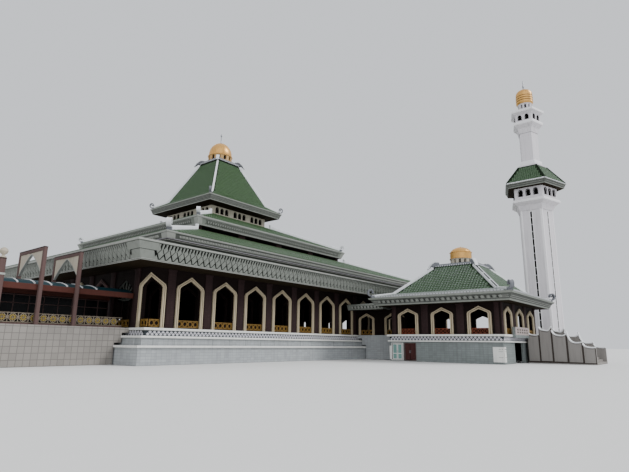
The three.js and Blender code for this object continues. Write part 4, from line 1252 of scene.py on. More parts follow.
def crown(name, half, low, thick, size, at, node, finish="crown"):
    """The cut-off top of a roof, in a finish: a moulded ridge plate, tile ends under it and a horn at each
    corner."""
    plate = ring([[0.02, low], [half, low], [half + 0.012, low + thick * 0.3], [half, low + thick * 0.55],
                  [half - 0.02, low + thick], [0.02, low + thick]])
    top = low + thick
    cap = ring(rect(half - 0.06, top - 0.01, half - 0.015, top + 0.01))
    ends = spaced(-half + 0.04, half - 0.04, 0.07)
    dentils = bars(rows_of(ends, low + thick * 0.1), rows_of(ends, low + thick * 0.5), 0.024, 0.018)
    marks = on_sides(dentils, upright(half, 12))
    body, rim = horn(half, low, size, size * 0.34)
    piece(name, [(joined([plate, at_corners(body)]), finish), (cap, "curl"),
                 (joined([marks, at_corners(rim)]), "ridge_white")], at, nodes=[node])


def hall_top():
    """The hall's crown, drum, dome and spire. The dome's bowl is a smooth line through eight points."""
    crown("hall_crown", 0.68, 8.07, 0.1, 0.35, HALL, "tier3_crown")
    drum("hall", HALL, "drum_tan", 0.55, 8.17, 8.5, 12, 0.075)
    foot, wide, high = 8.5, 0.54, 0.73
    shares = np.array([[0.98, 0.02], [1, 0.1], [0.985, 0.28], [0.9, 0.5], [0.74, 0.69], [0.5, 0.86],
                       [0.2, 0.97], [0.05, 0.995]])
    bowl = rounded(shares * [wide, high] + [0, foot])
    profile = np.concatenate([[[0, foot], [0.5, foot]], bowl, [[0, foot + high]]])
    lip = lathe([[0.53, foot - 0.012], [0.585, foot - 0.012], [0.592, foot + 0.012], [0.572, foot + 0.03],
                 [0.53, foot + 0.03]], 64)
    spire = lathe(np.array([[0, 0.71], [0.045, 0.71], [0.04, 0.745], [0.022, 0.78], [0.016, 0.8],
                            [0.015, 1.07], [0.03, 1.09], [0.042, 1.12], [0.042, 1.15], [0.03, 1.175],
                            [0.014, 1.19], [0.008, 1.23], [0, 1.25]]) + [0, foot], 16)
    piece("hall_gold_dome", [(joined([gilded(profile, 3, 44, 16), lip]), "gold"), (spire, "metal")], HALL,
          nodes=["hall_dome"])


# The pavilion and the link.


def pavilion_walls():
    """Frames, pilasters and railings of the pavilion."""
    wall = upright(PAV)
    steps = [-PAV_STEP, 0, PAV_STEP]
    parts = arch_frame(PAV_INNER, PAV_OUTER, bays("pavilion", "frame_out"))
    frames, grooves = (on_sides(along(shape, steps), wall) for shape in parts)
    piece("pavilion_arch_frames", [(frames, "arch_frame"), (grooves, "frame_groove")], PAVILION)
    wide = bays("pavilion", "pilaster")
    posts = [moved(pilaster(half, 0, 0.81, 0.022), x=x) for x, half in
             ((-1.47, wide * 0.6), (-0.51, wide), (0.51, wide), (1.47, wide * 0.6))]
    piece("pavilion_pilasters", [(on_sides(joined(posts), wall), "pilaster")], PAVILION)
    red = along(cross_railing(0.225, *PAV_RAIL, sizes("pavilion").crosses), steps)
    gold = along(star_railing(0.225, *PAV_RAIL, 3), steps)
    red, gold = on_sides(red, wall, (-90, 90)), on_sides(gold, wall, (0, 180))
    piece("pavilion_railings", [(red, "rail_red"), (gold, "rail_gold")], PAVILION)


def pavilion_base():
    """Ledges, frieze and corner piers of the pavilion's podium, and the frame of its passage."""
    ledges = [ledge_ring(half, top, low, 0.08, 0.008) for half, top, low in
              ((1.66, 0.0, -0.045), (1.64, -0.16, -0.19))]
    piece("pavilion_ledges", [(joined(ledges), "ledge")], PAVILION)
    white, ground = frieze(1.6, 1.6, bays("pavilion", "frieze"))
    low_line = [[1.6, -0.7], [1.6, -0.19]]
    block = corner_blocks(low_line, 0.02, 0.39, 0.14, 0.14, 0.012)
    piers = [turned(block, way) for way in (0, 90, 180)]
    for x0, x1 in ((1.33, 1.6), (-1.6, -1.555)):
        by_door = prism(rect(x0, 0.02, x1, 0.39), 0.0, 0.012, "z", 0.003)
        piers.append(turned(on_line(by_door, low_line), -90))
    marks = []
    for way, ends in ((0, (-1, 1)), (90, (-1, 1)), (180, (-1, 1)), (-90, (1,))):
        p, q = ([[end * x, up] for end in ends for up in (0.14, 0.28)] for x in (1.58, 1.47))
        joints = bars(p, q, 0.008, 0.014)
        spots = [[end * x, 0.335] for end in ends for x in (1.49, 1.53, 1.57)]
        dots = lozenges(spots, 0.011, 0.016, 0.015, 0.003)
        marks.append(turned(on_line(joined([joints, dots]), low_line), way))
    parts = [(white, "pattern_white"), (ground, "slate"), (joined(piers), "ledge"), (joined(marks), "slate")]
    piece("pavilion_frieze", parts, PAVILION)


def pavilion_top():
    """The pavilion's crown, drum and low dome."""
    crown("pavilion_ridge", 0.63, 2.0, 0.07, 0.26, PAVILION, "pavilion_crown", "curl")
    drum("pavilion", PAVILION, "cream", 0.3, 2.07, 2.27, 12, 0.045)
    foot = 2.27
    side = np.array([[0.0, 0], [0.335, 0], [0.338, 0.012], [0.318, 0.02], [0.318, 0.19], [0.332, 0.196],
                     [0.332, 0.206]]) + [0, foot]
    cap = rounded(np.array([[0.312, 0.212], [0.27, 0.272], [0.19, 0.325], [0.1, 0.357], [0.03, 0.372]])
                  + [0, foot])
    profile = np.concatenate([side, cap, [[0.02, foot + 0.385], [0, foot + 0.4]]])
    piece("pavilion_gold_dome", [(gilded(profile, 7, 31, 16, 0.008), "gold")], PAVILION,
          nodes=["pavilion_dome"])


def link():
    """Frames, railings and fascia marks of the link, on its left and right sides."""
    base = (PAVILION - WORLD)[0] / BAY
    spots = np.array([-0.72, 0.24])
    wall = upright(0.8)

    def both_sides(shape, line=wall, places=spots):
        """On both long sides: the left one runs from back to front, so places along it change sign."""
        left = turned(on_line(along(shape, -places), line), -90)
        right = turned(on_line(along(shape, places), line), 90)
        return moved(joined([left, right]), x=base)

    frame_of, groove_of = arch_frame(LINK_INNER, LINK_OUTER, bays("pavilion", "frame_out"))
    rails = star_railing(0.215, *PAV_RAIL, 3)
    piece("link_arch_frames", [(both_sides(frame_of), "arch_frame"), (both_sides(groove_of), "frame_groove")])
    piece("link_railings", [(both_sides(rails), "rail_gold")])
    band = [[1.225, 0.785], [1.285, 0.92]]
    mid = length_of(band) / 2
    mark = lozenges([[0, mid]], 0.036, 0.046, 0.012, 0.01)
    cross = crosses(np.array([0.06]), mid - 0.04, mid + 0.04, 0.016, 0.01, 0.01, 0.0)
    middles = spaced(-0.58, 0.6, 0.12)
    mark, cross = (both_sides(shape, band, middles) for shape in (mark, cross))
    piece("link_fascia_marks", [(mark, "fascia_pale"), (cross, "fascia_dark")])


def frame_plate(outer, inner, near, far):
    """A flat frame between two outlines of the same number of points, between two levels of X."""
    n = len(outer)
    loops = [np.column_stack([np.full(n, x), line]) for line, x in
             ((outer, near), (inner, near), (inner, far), (outer, far))]
    return np.concatenate(loops), [grid(4, n, True, True)]


def leaf(node, finish, rim_finish, stile, near):
    """One leaf: stiles and rails round a pane or two panels, and a handle by the meeting edge."""
    (x0, y0, z0), (x1, y1, z1) = ((np.array(corner) - WORLD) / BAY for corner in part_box(node))
    z0, z1 = z0 + LEAF_GAP, z1 - LEAF_GAP
    outer = np.array(rect(y0, z0, y1, z1))
    mid = [(y0 + y1) / 2, (z0 + z1) / 2]
    edge = outer + np.where(outer > mid, -stile, stile)
    rim = frame_plate(outer, edge, x0 + 0.0005, x1)
    pane = prism(edge + np.where(edge > mid, 0.002, -0.002), x0 + 0.003, x1 - 0.002, "x")
    rail = prism(rect(edge[0, 0], z0 + 0.15, edge[1, 0], z0 + 0.17), x0 + 0.001, x1 - 0.001, "x")
    grip_y = y1 - stile * 0.5 if near else y0 + stile * 0.5
    grip = moved(lathe(rect(0, 0, 0.004, 0.07), 10), x0 + 0.0005, grip_y, mid[1] - 0.035)
    parts = [(joined([rim, rail]), rim_finish), (pane, finish), (grip, "metal")]
    piece(node + "_leaf", parts, WORLD, body=node, nodes=[node])


def doors():
    """The door leaves in the podium and the surround of each doorway."""
    for kind, rim_finish, stile in (("glass", "ledge", 0.018), ("timber", "timber", 0.024)):
        for side in ("near", "far"):
            leaf(kind + "_door_" + side, kind, rim_finish, stile, side == "near")
    for kind, finish, a, b in (("glass", "ledge", -1.46, -1.12), ("timber", "post", -1.86, -1.52)):
        outer, inner = rect(a - 0.016, -0.706, b + 0.016, -0.226), rect(a, -0.69, b, -0.245)
        piece(kind + "_door_surround", [(frame_plate(outer, inner, 7.424, 7.434), finish)])


# The stair, the minaret and the walkway.


def stair():
    """Panels and copings on the stair's parapets, whose tops dip between two upswept ends, and the pierced
    balustrade of its landing, whose holes are dark squares of painted shade."""
    wide = bays("pavilion", "coping")
    section = both_halves([[-0.92, -0.014], [-1, 0.006], [-0.7, 0.016]]) * [wide, 1]
    shares = np.array([0, 0.15, 0.4, 0.75, 1])
    copings, panels, backs = [], [], []
    for y0, y1, left, low, right in PARAPET:
        levels = [left, low + 0.35 * (left - low), low + 0.01, low, right]
        line = np.column_stack([y0 + (y1 - y0) * shares, levels])
        y, z = rounded(line, 4).T
        for x, face, out in PARAPET_X:
            path = np.column_stack([np.full(len(y), x), np.maximum(y, COPING_END), z + 0.012])
            copings.append(carried(section, path, (1, 0, 0)))
            foot = [[line[-1, 0], GROUND + 0.02], [line[0, 0], GROUND + 0.02]]
            whole = np.concatenate([line - [0, 0.02], foot])
            backs.append(prism(whole, face + out * 0.002, face, "x"))
            centre = whole.mean(0)
            inner = centre + (whole - centre) * [0.87, 0.93]
            panels.append(prism(inner, face, face + out * 0.009, "x", 0.005))
    piece("stair_copings", [(joined(copings), "ridge_white")])
    piece("stair_panels", [(joined(panels), "stair_wall"), (joined(backs), "joint_dark")])
    wall = upright(4.4)
    x0, x1, top = 8.0, 9.196, 0.2
    plate = prism(rect(x0, 0.003, x1, top), 0.0, 0.004, "z")
    middles = spaced(x0, x1, 0.2)
    side, step = 0.022, 0.033
    square = prism(rect(-side, -side, side, side), 0.004, 0.006, "z")
    spots = [[x + a, 0.1 + b, 0] for x in middles for a in (-step, step) for b in (-step, step)]
    cap = bars([[x0, top - 0.01]], [[x1, top - 0.01]], 0.024, 0.012)
    # The dark squares are painted shade that stands for the balustrade's holes.
    pale, dark = on_line(joined([plate, cap]), wall), on_line(repeated(square, spots), wall)
    piece("landing_balustrade", [(pale, "balustrade"), (dark, "joint_dark")])


def five(shape):
    """A shape built for the front side of a plan, on each side of the minaret."""
    return turned(around(shape, 5), FIVE_TURN)


def five_ring(profile):
    """A closed profile of (half width, height) points carried round the minaret."""
    return turned(ring(profile, 5), FIVE_TURN)


def windows_round(radius, spots, bottom, top, half):
    """Window surrounds on each side of the minaret."""
    arch = [[half, bottom], [half, top - 0.07], [half * 0.6, top - 0.02], [0, top]]
    wide = [[half + 0.014, bottom], [half + 0.014, top - 0.065], [half * 0.6 + 0.012, top - 0.004],
            [0, top + 0.016]]
    band, _ = arch_frame(arch, wide, 0.014)
    return five(on_line(along(band, spots), upright(radius * APOTHEM)))


def minaret():
    """Slots, edges, rings, windows, roof, drum and cap of the minaret. Joints cross each slot at even
    heights, in front of its dark back, which is painted shade; the windows' surrounds and panes are painted
    shade too."""
    shaft = 0.59 * APOTHEM
    wall = upright(shaft)
    lip = bays("minaret", "lip")
    slot, foot, top = 0.043, 0.08, 4.28
    lips = bars([[-slot, foot], [slot, foot], [-slot, foot + 0.01], [-slot, top - 0.005]],
                [[-slot, top], [slot, top], [slot, foot + 0.01], [slot, top - 0.005]], lip, 0.007)
    edges = bars([[-0.31, -0.72], [0.31, -0.72]], [[-0.31, 4.32], [0.31, 4.32]], 0.05, 0.008)
    ups = 0.3 + 0.25 * np.arange(16)
    side = np.full(16, 0.028)
    joints = bars(rows_of(-side, ups), rows_of(side, ups), 0.02, -0.001, -0.008)
    # The slot's back is a dark sheet of painted shade.
    back = prism(rect(-0.05, 0.1, 0.05, 4.26), -0.012, -0.004, "z")
    plinth = five_ring([[shaft - 0.03, GROUND], [shaft + 0.05, GROUND], [shaft + 0.05, GROUND + 0.1],
                        [shaft + 0.01, GROUND + 0.14], [shaft - 0.03, GROUND + 0.14]])
    lips, joints, back = (five(on_line(shape, wall)) for shape in (joined([lips, edges]), joints, back))
    parts = [(lips, "white_edge"), (joints, "white"), (back, "shadow"), (plinth, "white_edge")]
    piece("minaret_slots", parts, MINARET)
    rings = []
    for radius, low, high in ((0.86, 4.6, 4.69), (0.545, 7.58, 7.69), (0.39, 5.99, 6.19), (0.61, 8.04, 8.13)):
        back, edge, half = np.array([radius] * 3) * APOTHEM - [0.1, 0.01, 0]
        rings.append(five_ring([[back, low], [edge, low], [half, low + 0.02], [half, high - 0.02],
                                [edge, high], [back, high]]))
    piece("minaret_galleries", [(joined(rings), "white_edge")], MINARET)
    # The window surrounds and panes are painted shade.
    rims = [windows_round(0.77, (-0.25, 0, 0.25), 4.8, 5.04, 0.066),
            windows_round(0.47, (-0.12, 0.12), 7.74, 7.93, 0.054)]
    panes = [five_ring(rect(radius * APOTHEM - 0.04, low, radius * APOTHEM - 0.015, high))
             for radius, low, high in ((0.77, 4.76, 5.08), (0.47, 7.72, 7.96))]
    piece("minaret_panes", [(joined(rims + panes), "shadow")], MINARET)
    minaret_top()


def minaret_top():
    """The minaret's roof, drum and cap. The cap is a turned drum of gold with a rounded top and a spike."""
    rows = [(0.7, 5.11), (1.01, 5.11, "fascia"), (1.022, 5.135, "fascia"), (1.015, 5.14, "fascia_green"),
            (1.072, 5.245, "fascia"), (1.088, 5.25, "fascia"), (1.1, 5.27, "ridge_white"),
            (1.05, 5.31, "roof_pan"), (0.5, 5.96), (0.43, 5.96), (0.96, 5.28), (0.94, 5.16), (0.7, 5.16)]
    rows = [(half * APOTHEM, *rest) for half, *rest in rows]
    (points, faces), finishes = strips(rows, 5)
    band = [row[:2] for row in rows[3:5]]
    line = bars([[-0.56, length_of(band) * 0.5]], [[0.56, length_of(band) * 0.5]], 0.01, 0.006)
    ends = spaced(-0.6, 0.6, 0.06)
    dashes = bars(rows_of(ends, 0.005), rows_of(ends, 0.028), 0.034, 0.012)
    edge = [row[:2] for row in rows[5:7]]
    slope = [row[:2] for row in rows[7:9]]
    laid = tiles(slope, bays("minaret", "tile"), 0.08, 0.014, 0.035, 5)
    hip = bar_hip([[1.07 / ROOT_2, 5.3], [0.52 / ROOT_2, 5.95]], 0.03, 0.018)
    parts = [(turned((points, faces), FIVE_TURN), finishes), (five(on_line(line, band)), "fascia_pale"),
             (five(on_line(dashes, edge)), "ridge_white"), (five(laid), "roof_pale"),
             (at_corners(hip, 5, 0), "roof_pan")]
    piece("minaret_roof_tiles", parts, MINARET, nodes=["minaret_roof"])
    drum("minaret", MINARET, "white", 0.225, 8.2, 8.46, 10, 0.03)
    foot = 8.46
    profile = [[0, 0], [0.25, 0], [0.262, 0.012], [0.285, 0.045]]
    for low, high in ((0.05, 0.13), (0.14, 0.22), (0.23, 0.31)):
        profile += [[0.284, low], [0.294, low + 0.01], [0.294, high - 0.01], [0.284, high]]
    cap = rounded([[0.288, 0.32], [0.282, 0.43], [0.245, 0.52], [0.16, 0.585], [0.04, 0.615]])
    grooves = [lathe(rect(0.27, low, 0.29, low + 0.02)) for low in (0.125, 0.215, 0.305)]
    spike = lathe(np.array([[0, 0.6], [0.03, 0.6], [0.026, 0.66], [0.02, 0.72], [0.034, 0.75],
                            [0.034, 0.78], [0.014, 0.81], [0.012, 0.98], [0, 1.02]]) + [0, foot], 16)
    turned_cap = np.concatenate([profile, cap, [[0, 0.62]]]) + [0, foot]
    body = gilded(turned_cap, 16, 40, sizes("minaret").seams, 0.008)
    parts = [(body, "gold"), (moved(joined(grooves), z=foot), "post_dark"), (spike, "metal")]
    piece("minaret_gold_cap", parts, MINARET, nodes=["minaret_cap"])


def portal(x, half, top, rise):
    """One frame of the walkway, as its posts and lintel, its spandrels and their rims. The curve under the
    lintel rises as the sine of an angle that grows evenly from the post to the middle."""
    y0, y1 = PORTAL_Y
    mid, post, bevel = (y0 + y1) / 2, PORTAL_POST, half * 0.22
    posts, fills, rims = [], [], []
    for a, b in ((y0, y0 + post), (y1 - post, y1)):
        plan = np.array(chamfered(x - half, a, x + half, b, bevel, bevel))
        base = plan.mean(0) + (plan - plan.mean(0)) * 1.12
        posts += [prism(plan, 0.001, top - 0.02, "z"), prism(base, 0.001, 0.06, "z", 0.003)]
    posts.append(prism(rect(y0 + post, top - 0.075, y1 - post, top - 0.02), x - half, x + half, "x"))
    t, angle = np.linspace(0, 1, 13), 1.1
    for edge in (y0 + post - 0.01, y1 - post + 0.01):
        up = top - 0.095 - rise + rise * np.sin(angle * t) / np.sin(angle)
        curve = np.column_stack([edge + (mid - edge) * t, up])
        outline = np.concatenate([[[edge, top - 0.05]], curve, [[mid, top - 0.05]]])
        fills.append(prism(outline, x - 0.02, x + 0.02, "x"))
        path = np.column_stack([np.full(len(t), x), curve])
        rims.append(carried(slab(half * 0.7, -0.008, 0.008), path, (1, 0, 0)))
    return posts, fills, rims


def walkway():
    """Portal frames, beams, ribs, glazing bars and finials of the covered walkway. A rib's height falls off
    as the square of its distance from the middle."""
    y0, y1 = PORTAL_Y
    built = [portal(*size) for size in PORTALS]
    posts, fills, rims = ([shape for parts in built for shape in parts[kind]] for kind in range(3))
    caps = [prism(rect(x - half, y0, x + half, y1), top - 0.02, top, "z", 0.004)
            for x, half, top, _ in PORTALS]
    gates = [(x, half, top) for x, half, top, _ in PORTALS if top < LOW_GATE]
    ball = lathe([[0, 0], [0.05, 0], [0.05, 0.02], [0.022, 0.035], [0.022, 0.05], [0.055, 0.075],
                  [0.07, 0.115], [0.055, 0.155], [0.02, 0.18], [0, 0.185]], 16)
    finials = [moved(ball, x, y, top) for x, _, top in gates
               for y in (y0 + PORTAL_POST / 2, y1 - PORTAL_POST / 2)]
    beams = [prism(chamfered(a, 0.62, b, 0.73, 0.006, 0.005), *WALK, "x")
             for a, b in ((1.215, 1.3), (2.19, 2.265))]
    rims += [ring_band(*gate) for gate in gates]
    parts = ((posts, "post"), (caps, "post_dark"), (fills, "spandrel"), (rims, "fascia_pale"),
             (beams, "beam"), (finials, "spandrel"))
    piece("walkway_frames", [(joined(shapes), finish) for shapes, finish in parts], nodes=["walkway_portals"])
    t = np.linspace(-1, 1, 17)
    arch = np.column_stack([1.74 + 0.472 * t, 0.747 + 0.1 * (1 - t * t)])
    ribs = [carried(slab(0.012, -0.012, 0.01), np.column_stack([np.full(len(t), x), arch]), (1, 0, 0))
            for x in spaced(WALK[0], RIB_END, bays("walkway", "rib"))]
    piece("canopy_ribs", [(joined(ribs), "ridge_white")])
    wall = upright(-2.21)
    stands = spaced(WALK[0], 0.58, bays("walkway", "bar"))
    levels = [[WALK[0] + 0.01, up] for up in (0.02, 0.44, 0.6)]
    p = np.concatenate([rows_of(stands, 0.005), levels])
    q = np.concatenate([rows_of(stands, 0.615), [[0.59, up] for _, up in levels]])
    piece("glazing_bars", [(on_line(bars(p, q, 0.018, 0.012), wall), "post")])


def ring_band(x, half, top, proud=0.006):
    """A pale band round the near post of a gate, below its lintel."""
    plan = rect(x - half - proud, PORTAL_Y[0] - proud, x + half + proud, PORTAL_Y[0] + PORTAL_POST + proud)
    return prism(plan, top - 0.3, top - 0.265, "z")


def fence():
    """The fence: a base and a cap with posts, square lattice panels and a star in each. A panel's lines run
    between two points, each so many half steps from its middle and at a height."""
    wall = upright(-1.256)
    x0, x1 = WALK[0], 0.45
    base = prism(rect(x0, 1.257, x1, 1.283), 0.001, 0.03, "z")
    step = bays("walkway", "star")
    middles = spaced(x0 + 0.02, x1 - 0.02, step)
    low, high, mid, half = 0.035, 0.21, 0.1225, step / 2
    lines = ((-1, low, -1, high), (0, low, 1, mid), (1, mid, 0, high), (0, high, -1, mid), (-1, mid, 0, low),
             (0, low, 0, high), (-1, mid, 1, mid))
    p, q = [[x0, high - 0.008], [x0, low + 0.006]], [[x1, high - 0.008], [x1, low + 0.006]]
    for a, up_a, b, up_b in lines:
        p = np.concatenate([rows_of(middles + half * a, up_a), p])
        q = np.concatenate([rows_of(middles + half * b, up_b), q])
    pales = on_line(bars(p, q, 0.011, -0.004, -0.022), wall)
    stars = on_line(joined([star(x, mid, 0.046, 0.015, -0.001, -0.024) for x in middles]), wall)
    piece("walkway_star_fence", [(base, "post"), (pales, "rail_pale"), (stars, "star_gold")],
          nodes=["walkway_fence"])


# Finishes of the nodes that stay: outside, and then, where it isn't shadow, the painted shade of deep
# openings, on faces that look inwards or down. The minaret is white. Other walls that aren't named are tiled,
# with the inner render inside, darkened as painted shade.


NODE_FINISHES = {
    "hall_podium": ["podium"], "hall_inner_walls": ["inner"], "verandah_deck": ["fascia", "soffit"],
    "tier1_wall": ["fascia_green"], "tier2_wall": ["pilaster"], "tier3_wall": ["cream"],
    "pavilion_podium": ["podium_blue"], "link_podium": ["podium"], "link_roof": ["fascia", "soffit"],
    "stair_landing": ["podium_blue"] * 2, "stair_parapet_left": ["stair_wall"] * 2,
    "stair_parapet_right": ["stair_wall"] * 2, "stair_flight": ["paving"] * 2, "walkway_base": ["paving"],
    "walkway_canopy": ["canopy"] * 2, "walkway_glass": ["dark_glass"] * 2,
}


def node_finishes():
    """Gives every CAD node its finishes, which show where no piece stands for it: one outside, one on faces
    that look inwards or down, which is painted shade unless the table names another finish, and one for
    floors at the height of the prayer floor, darkened as painted shade."""
    middles = {"pavilion": PAVILION, "link": PAVILION + np.array([0, 2.4 * BAY, 0]), "minaret": MINARET}
    for name, node in NODES.items():
        kind = name.split("_")[0]
        plain = ["white"] if kind == "minaret" else ["wall_tile", "inner"]
        outside, inside = (NODE_FINISHES.get(name, plain) + ["shadow"])[:2]
        mesh = node.data
        count = len(mesh.polygons)
        centre, looks = np.empty(count * 3), np.empty(count * 3)
        mesh.polygons.foreach_get("center", centre)
        mesh.polygons.foreach_get("normal", looks)
        centre, looks = centre.reshape(-1, 3), looks.reshape(-1, 3)
        out = (centre - middles.get(kind, HALL))[:, :2]
        if kind == "minaret":
            way = out / np.maximum(np.linalg.norm(out, axis=1, keepdims=True), 1e-9)
        else:
            way = np.sign(out) * (np.abs(out) == np.abs(out).max(1, keepdims=True))
        # Faces that look inwards or down take the inside finish, mostly painted shade, and floors take the
        # darkened deck.
        inwards = ((way * looks[:, :2]).sum(1) < -0.5) | (looks[:, 2] < -0.9)
        level = (looks[:, 2] > 0.9) & (np.abs(centre[:, 2] - FLOOR) < 0.002)
        mesh.materials.clear()
        for finish in (outside, inside, "deck"):
            mesh.materials.append(material(finish))
        chosen = np.where(inwards, 1, 0)
        if kind in ("hall", "pavilion", "link"):
            chosen = np.where(level, 2, chosen)
        mesh.polygons.foreach_set("material_index", chosen.astype(np.int32))
        mesh.update()


# The camera: the picture's width and height, its focal length and middle in pixels, the camera's heading,
# pitch and roll in degrees, and its place in metres. Then each sun's name, way, strength and spread.
PICTURE = (629, 472)
FOCAL = 477.19
MIDDLE = (316.27, 237.74)
TURNS = (38.823, 12.502, -0.643)
EYE = (-6.668, -7.531, 0.2345)
SENSOR = 36.0
SUNS = (("key", (0.55, -0.72, 0.75), 2.2, 24), ("fill", (-0.7, -0.5, 0.5), 0.7, 60))


def stage():
    """A pale floor, soft light and the camera at the photograph's viewing angle. The camera's axes are its
    heading and pitch as an upright frame, turned about its line of sight by the roll."""
    reach = 60.0
    mesh = bpy.data.meshes.new("studio_floor")
    corners = [(x, y, -0.002) for x, y in rect(-reach, -reach, reach, reach)]
    mesh.from_pydata(corners, [], [(0, 1, 2, 3)])
    mesh.materials.append(material("floor"))
    floor = linked("studio_floor", mesh)
    world = bpy.data.worlds.new("studio")
    world.use_nodes = True
    background = world.node_tree.nodes["Background"]
    background.inputs["Color"].default_value = (0.92, 0.95, 1.0, 1.0)
    background.inputs["Strength"].default_value = 0.95
    bpy.context.scene.world = world
    for name, way, strength, spread in SUNS:
        lamp = bpy.data.lights.new(name, "SUN")
        lamp.energy = strength
        lamp.angle = np.radians(spread)
        linked(name, lamp).rotation_euler = Vector(way).to_track_quat("Z", "Y").to_euler()
    camera = bpy.data.cameras.new("camera")
    camera.sensor_width = SENSOR
    camera.lens = SENSOR * FOCAL / PICTURE[0]
    camera.shift_x = -(MIDDLE[0] - PICTURE[0] / 2) / PICTURE[0]
    camera.shift_y = (MIDDLE[1] - PICTURE[1] / 2) / PICTURE[0]
    camera.clip_start = 0.01
    camera.clip_end = 300.0
    heading, pitch, roll = np.radians(TURNS)
    right, away = (np.sin(heading), -np.cos(heading), 0), (np.cos(heading), np.sin(heading), 0)
    level = np.array([right, away, (0, 0, 1)])
    ahead = np.array([0, np.cos(pitch), np.sin(pitch)]) @ level
    down = np.array([0, np.sin(pitch), -np.cos(pitch)]) @ level
    side = np.cos(roll) * level[0] + np.sin(roll) * down
    drop = -np.sin(roll) * level[0] + np.cos(roll) * down
    turn = Matrix(np.column_stack([side, -drop, -ahead]).tolist()).to_4x4()
    made = linked("camera", camera)
    made.matrix_world = Matrix.Translation(EYE) @ turn
    bpy.context.scene.camera = made


# Operators, the panel and the order of work.


GROUPS = {"hall": MosqueHallSizes, "roofs": MosqueRoofSizes, "pavilion": MosquePavilionSizes,
          "minaret": MosqueMinaretSizes, "walkway": MosqueWalkwaySizes, "colours": MosqueColours}


class MOSQUE_OT_arcade(bpy.types.Operator):
    """Frames, pilasters, railings and tracery of the hall's arcade"""

    bl_idname = "mosque.arcade"
    bl_label = "Arcade"

    def execute(self, context):
        arcade()
        return {"FINISHED"}


class MOSQUE_OT_inner_frames(bpy.types.Operator):
    """Frames round the arches of the hall's inner wall"""

    bl_idname = "mosque.inner_frames"
    bl_label = "Inner arches"

    def execute(self, context):
        inner_frames()
        return {"FINISHED"}


class MOSQUE_OT_hall_base(bpy.types.Operator):
    """Ledges and frieze of the hall's podium"""

    bl_idname = "mosque.hall_base"
    bl_label = "Hall podium"

    def execute(self, context):
        hall_base()
        return {"FINISHED"}


class MOSQUE_OT_lattice(bpy.types.Operator):
    """The lattice fascia round the hall"""

    bl_idname = "mosque.lattice"
    bl_label = "Lattice fascia"

    def execute(self, context):
        lattice()
        return {"FINISHED"}


class MOSQUE_OT_roofs(bpy.types.Operator):
    """Eaves, tiles, hips and curls of the four large roofs"""

    bl_idname = "mosque.roofs"
    bl_label = "Roofs"

    def execute(self, context):
        for name in ("tier1", "tier2", "tier3"):
            roof(name, HALL)
        roof("pavilion", PAVILION)
        return {"FINISHED"}


class MOSQUE_OT_clerestory(bpy.types.Operator):
    """Windows under the hall's two upper roofs"""

    bl_idname = "mosque.clerestory"
    bl_label = "Upper windows"

    def execute(self, context):
        clerestory()
        return {"FINISHED"}


class MOSQUE_OT_hall_top(bpy.types.Operator):
    """Crown, drum, dome and spire of the hall"""

    bl_idname = "mosque.hall_top"
    bl_label = "Hall dome"

    def execute(self, context):
        hall_top()
        return {"FINISHED"}


class MOSQUE_OT_pavilion_walls(bpy.types.Operator):
    """Frames, pilasters and railings of the pavilion"""

    bl_idname = "mosque.pavilion_walls"
    bl_label = "Pavilion walls"

    def execute(self, context):
        pavilion_walls()
        return {"FINISHED"}


class MOSQUE_OT_pavilion_base(bpy.types.Operator):
    """Ledges, frieze and piers of the pavilion's podium"""

    bl_idname = "mosque.pavilion_base"
    bl_label = "Pavilion podium"

    def execute(self, context):
        pavilion_base()
        return {"FINISHED"}


class MOSQUE_OT_pavilion_top(bpy.types.Operator):
    """Crown, drum and dome of the pavilion"""

    bl_idname = "mosque.pavilion_top"
    bl_label = "Pavilion dome"

    def execute(self, context):
        pavilion_top()
        return {"FINISHED"}


class MOSQUE_OT_link(bpy.types.Operator):
    """Frames, railings and fascia marks of the link"""

    bl_idname = "mosque.link"
    bl_label = "Link"

    def execute(self, context):
        link()
        return {"FINISHED"}


class MOSQUE_OT_doors(bpy.types.Operator):
    """Door leaves and their surrounds"""

    bl_idname = "mosque.doors"
    bl_label = "Doors"

    def execute(self, context):
        doors()
        return {"FINISHED"}


class MOSQUE_OT_stair(bpy.types.Operator):
    """Panels, copings and balustrade of the stair"""

    bl_idname = "mosque.stair"
    bl_label = "Stair"

    def execute(self, context):
        stair()
        return {"FINISHED"}


class MOSQUE_OT_minaret(bpy.types.Operator):
    """Slots, galleries, roof and cap of the minaret"""

    bl_idname = "mosque.minaret"
    bl_label = "Minaret"

    def execute(self, context):
        minaret()
        return {"FINISHED"}


class MOSQUE_OT_walkway(bpy.types.Operator):
    """Portals, canopy ribs and glazing bars of the walkway"""

    bl_idname = "mosque.walkway"
    bl_label = "Walkway"

    def execute(self, context):
        walkway()
        return {"FINISHED"}


class MOSQUE_OT_fence(bpy.types.Operator):
    """The walkway's fence with its stars"""

    bl_idname = "mosque.fence"
    bl_label = "Fence"

    def execute(self, context):
        fence()
        return {"FINISHED"}


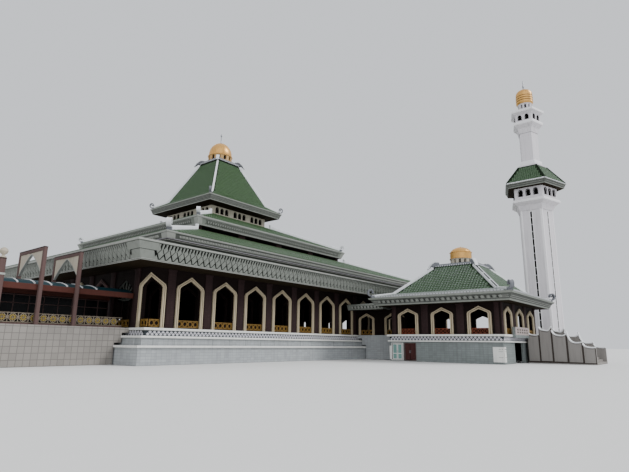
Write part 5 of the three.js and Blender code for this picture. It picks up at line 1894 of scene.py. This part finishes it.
class MOSQUE_OT_finishes(bpy.types.Operator):
    """Finishes of the model's own parts that still show"""

    bl_idname = "mosque.finishes"
    bl_label = "Finishes"

    def execute(self, context):
        node_finishes()
        return {"FINISHED"}


class MOSQUE_OT_stage(bpy.types.Operator):
    """Floor, light and camera"""

    bl_idname = "mosque.stage"
    bl_label = "Stage"

    def execute(self, context):
        stage()
        return {"FINISHED"}


OPERATORS = (MOSQUE_OT_arcade, MOSQUE_OT_inner_frames, MOSQUE_OT_hall_base, MOSQUE_OT_lattice,
             MOSQUE_OT_roofs, MOSQUE_OT_clerestory, MOSQUE_OT_hall_top, MOSQUE_OT_pavilion_walls,
             MOSQUE_OT_pavilion_base, MOSQUE_OT_pavilion_top, MOSQUE_OT_link, MOSQUE_OT_doors,
             MOSQUE_OT_stair, MOSQUE_OT_minaret, MOSQUE_OT_walkway, MOSQUE_OT_fence,
             MOSQUE_OT_finishes, MOSQUE_OT_stage)


class VIEW3D_PT_mosque(bpy.types.Panel):
    """Lists the steps that build the mosque and the sizes and colours they use"""

    bl_idname = "VIEW3D_PT_mosque"
    bl_label = "Mosque"
    bl_space_type = "VIEW_3D"
    bl_region_type = "UI"
    bl_category = "Mosque"

    def draw(self, context):
        column = self.layout.column(align=True)
        for step in OPERATORS:
            column.operator(step.bl_idname)
        for part, group in GROUPS.items():
            box = self.layout.box()
            box.label(text=part.capitalize())
            for name in group.__annotations__:
                box.prop(getattr(context.scene, "mosque_" + part), name)


def register():
    for kind in (*GROUPS.values(), *OPERATORS, VIEW3D_PT_mosque):
        bpy.utils.register_class(kind)
    for part, group in GROUPS.items():
        setattr(bpy.types.Scene, "mosque_" + part, bpy.props.PointerProperty(type=group))


def unregister():
    for part in GROUPS:
        delattr(bpy.types.Scene, "mosque_" + part)
    for kind in reversed((*GROUPS.values(), *OPERATORS, VIEW3D_PT_mosque)):
        bpy.utils.unregister_class(kind)


def main():
    register()
    for step in OPERATORS:
        area, name = step.bl_idname.split(".")
        getattr(getattr(bpy.ops, area), name)()


if __name__ == "__main__":
    main()
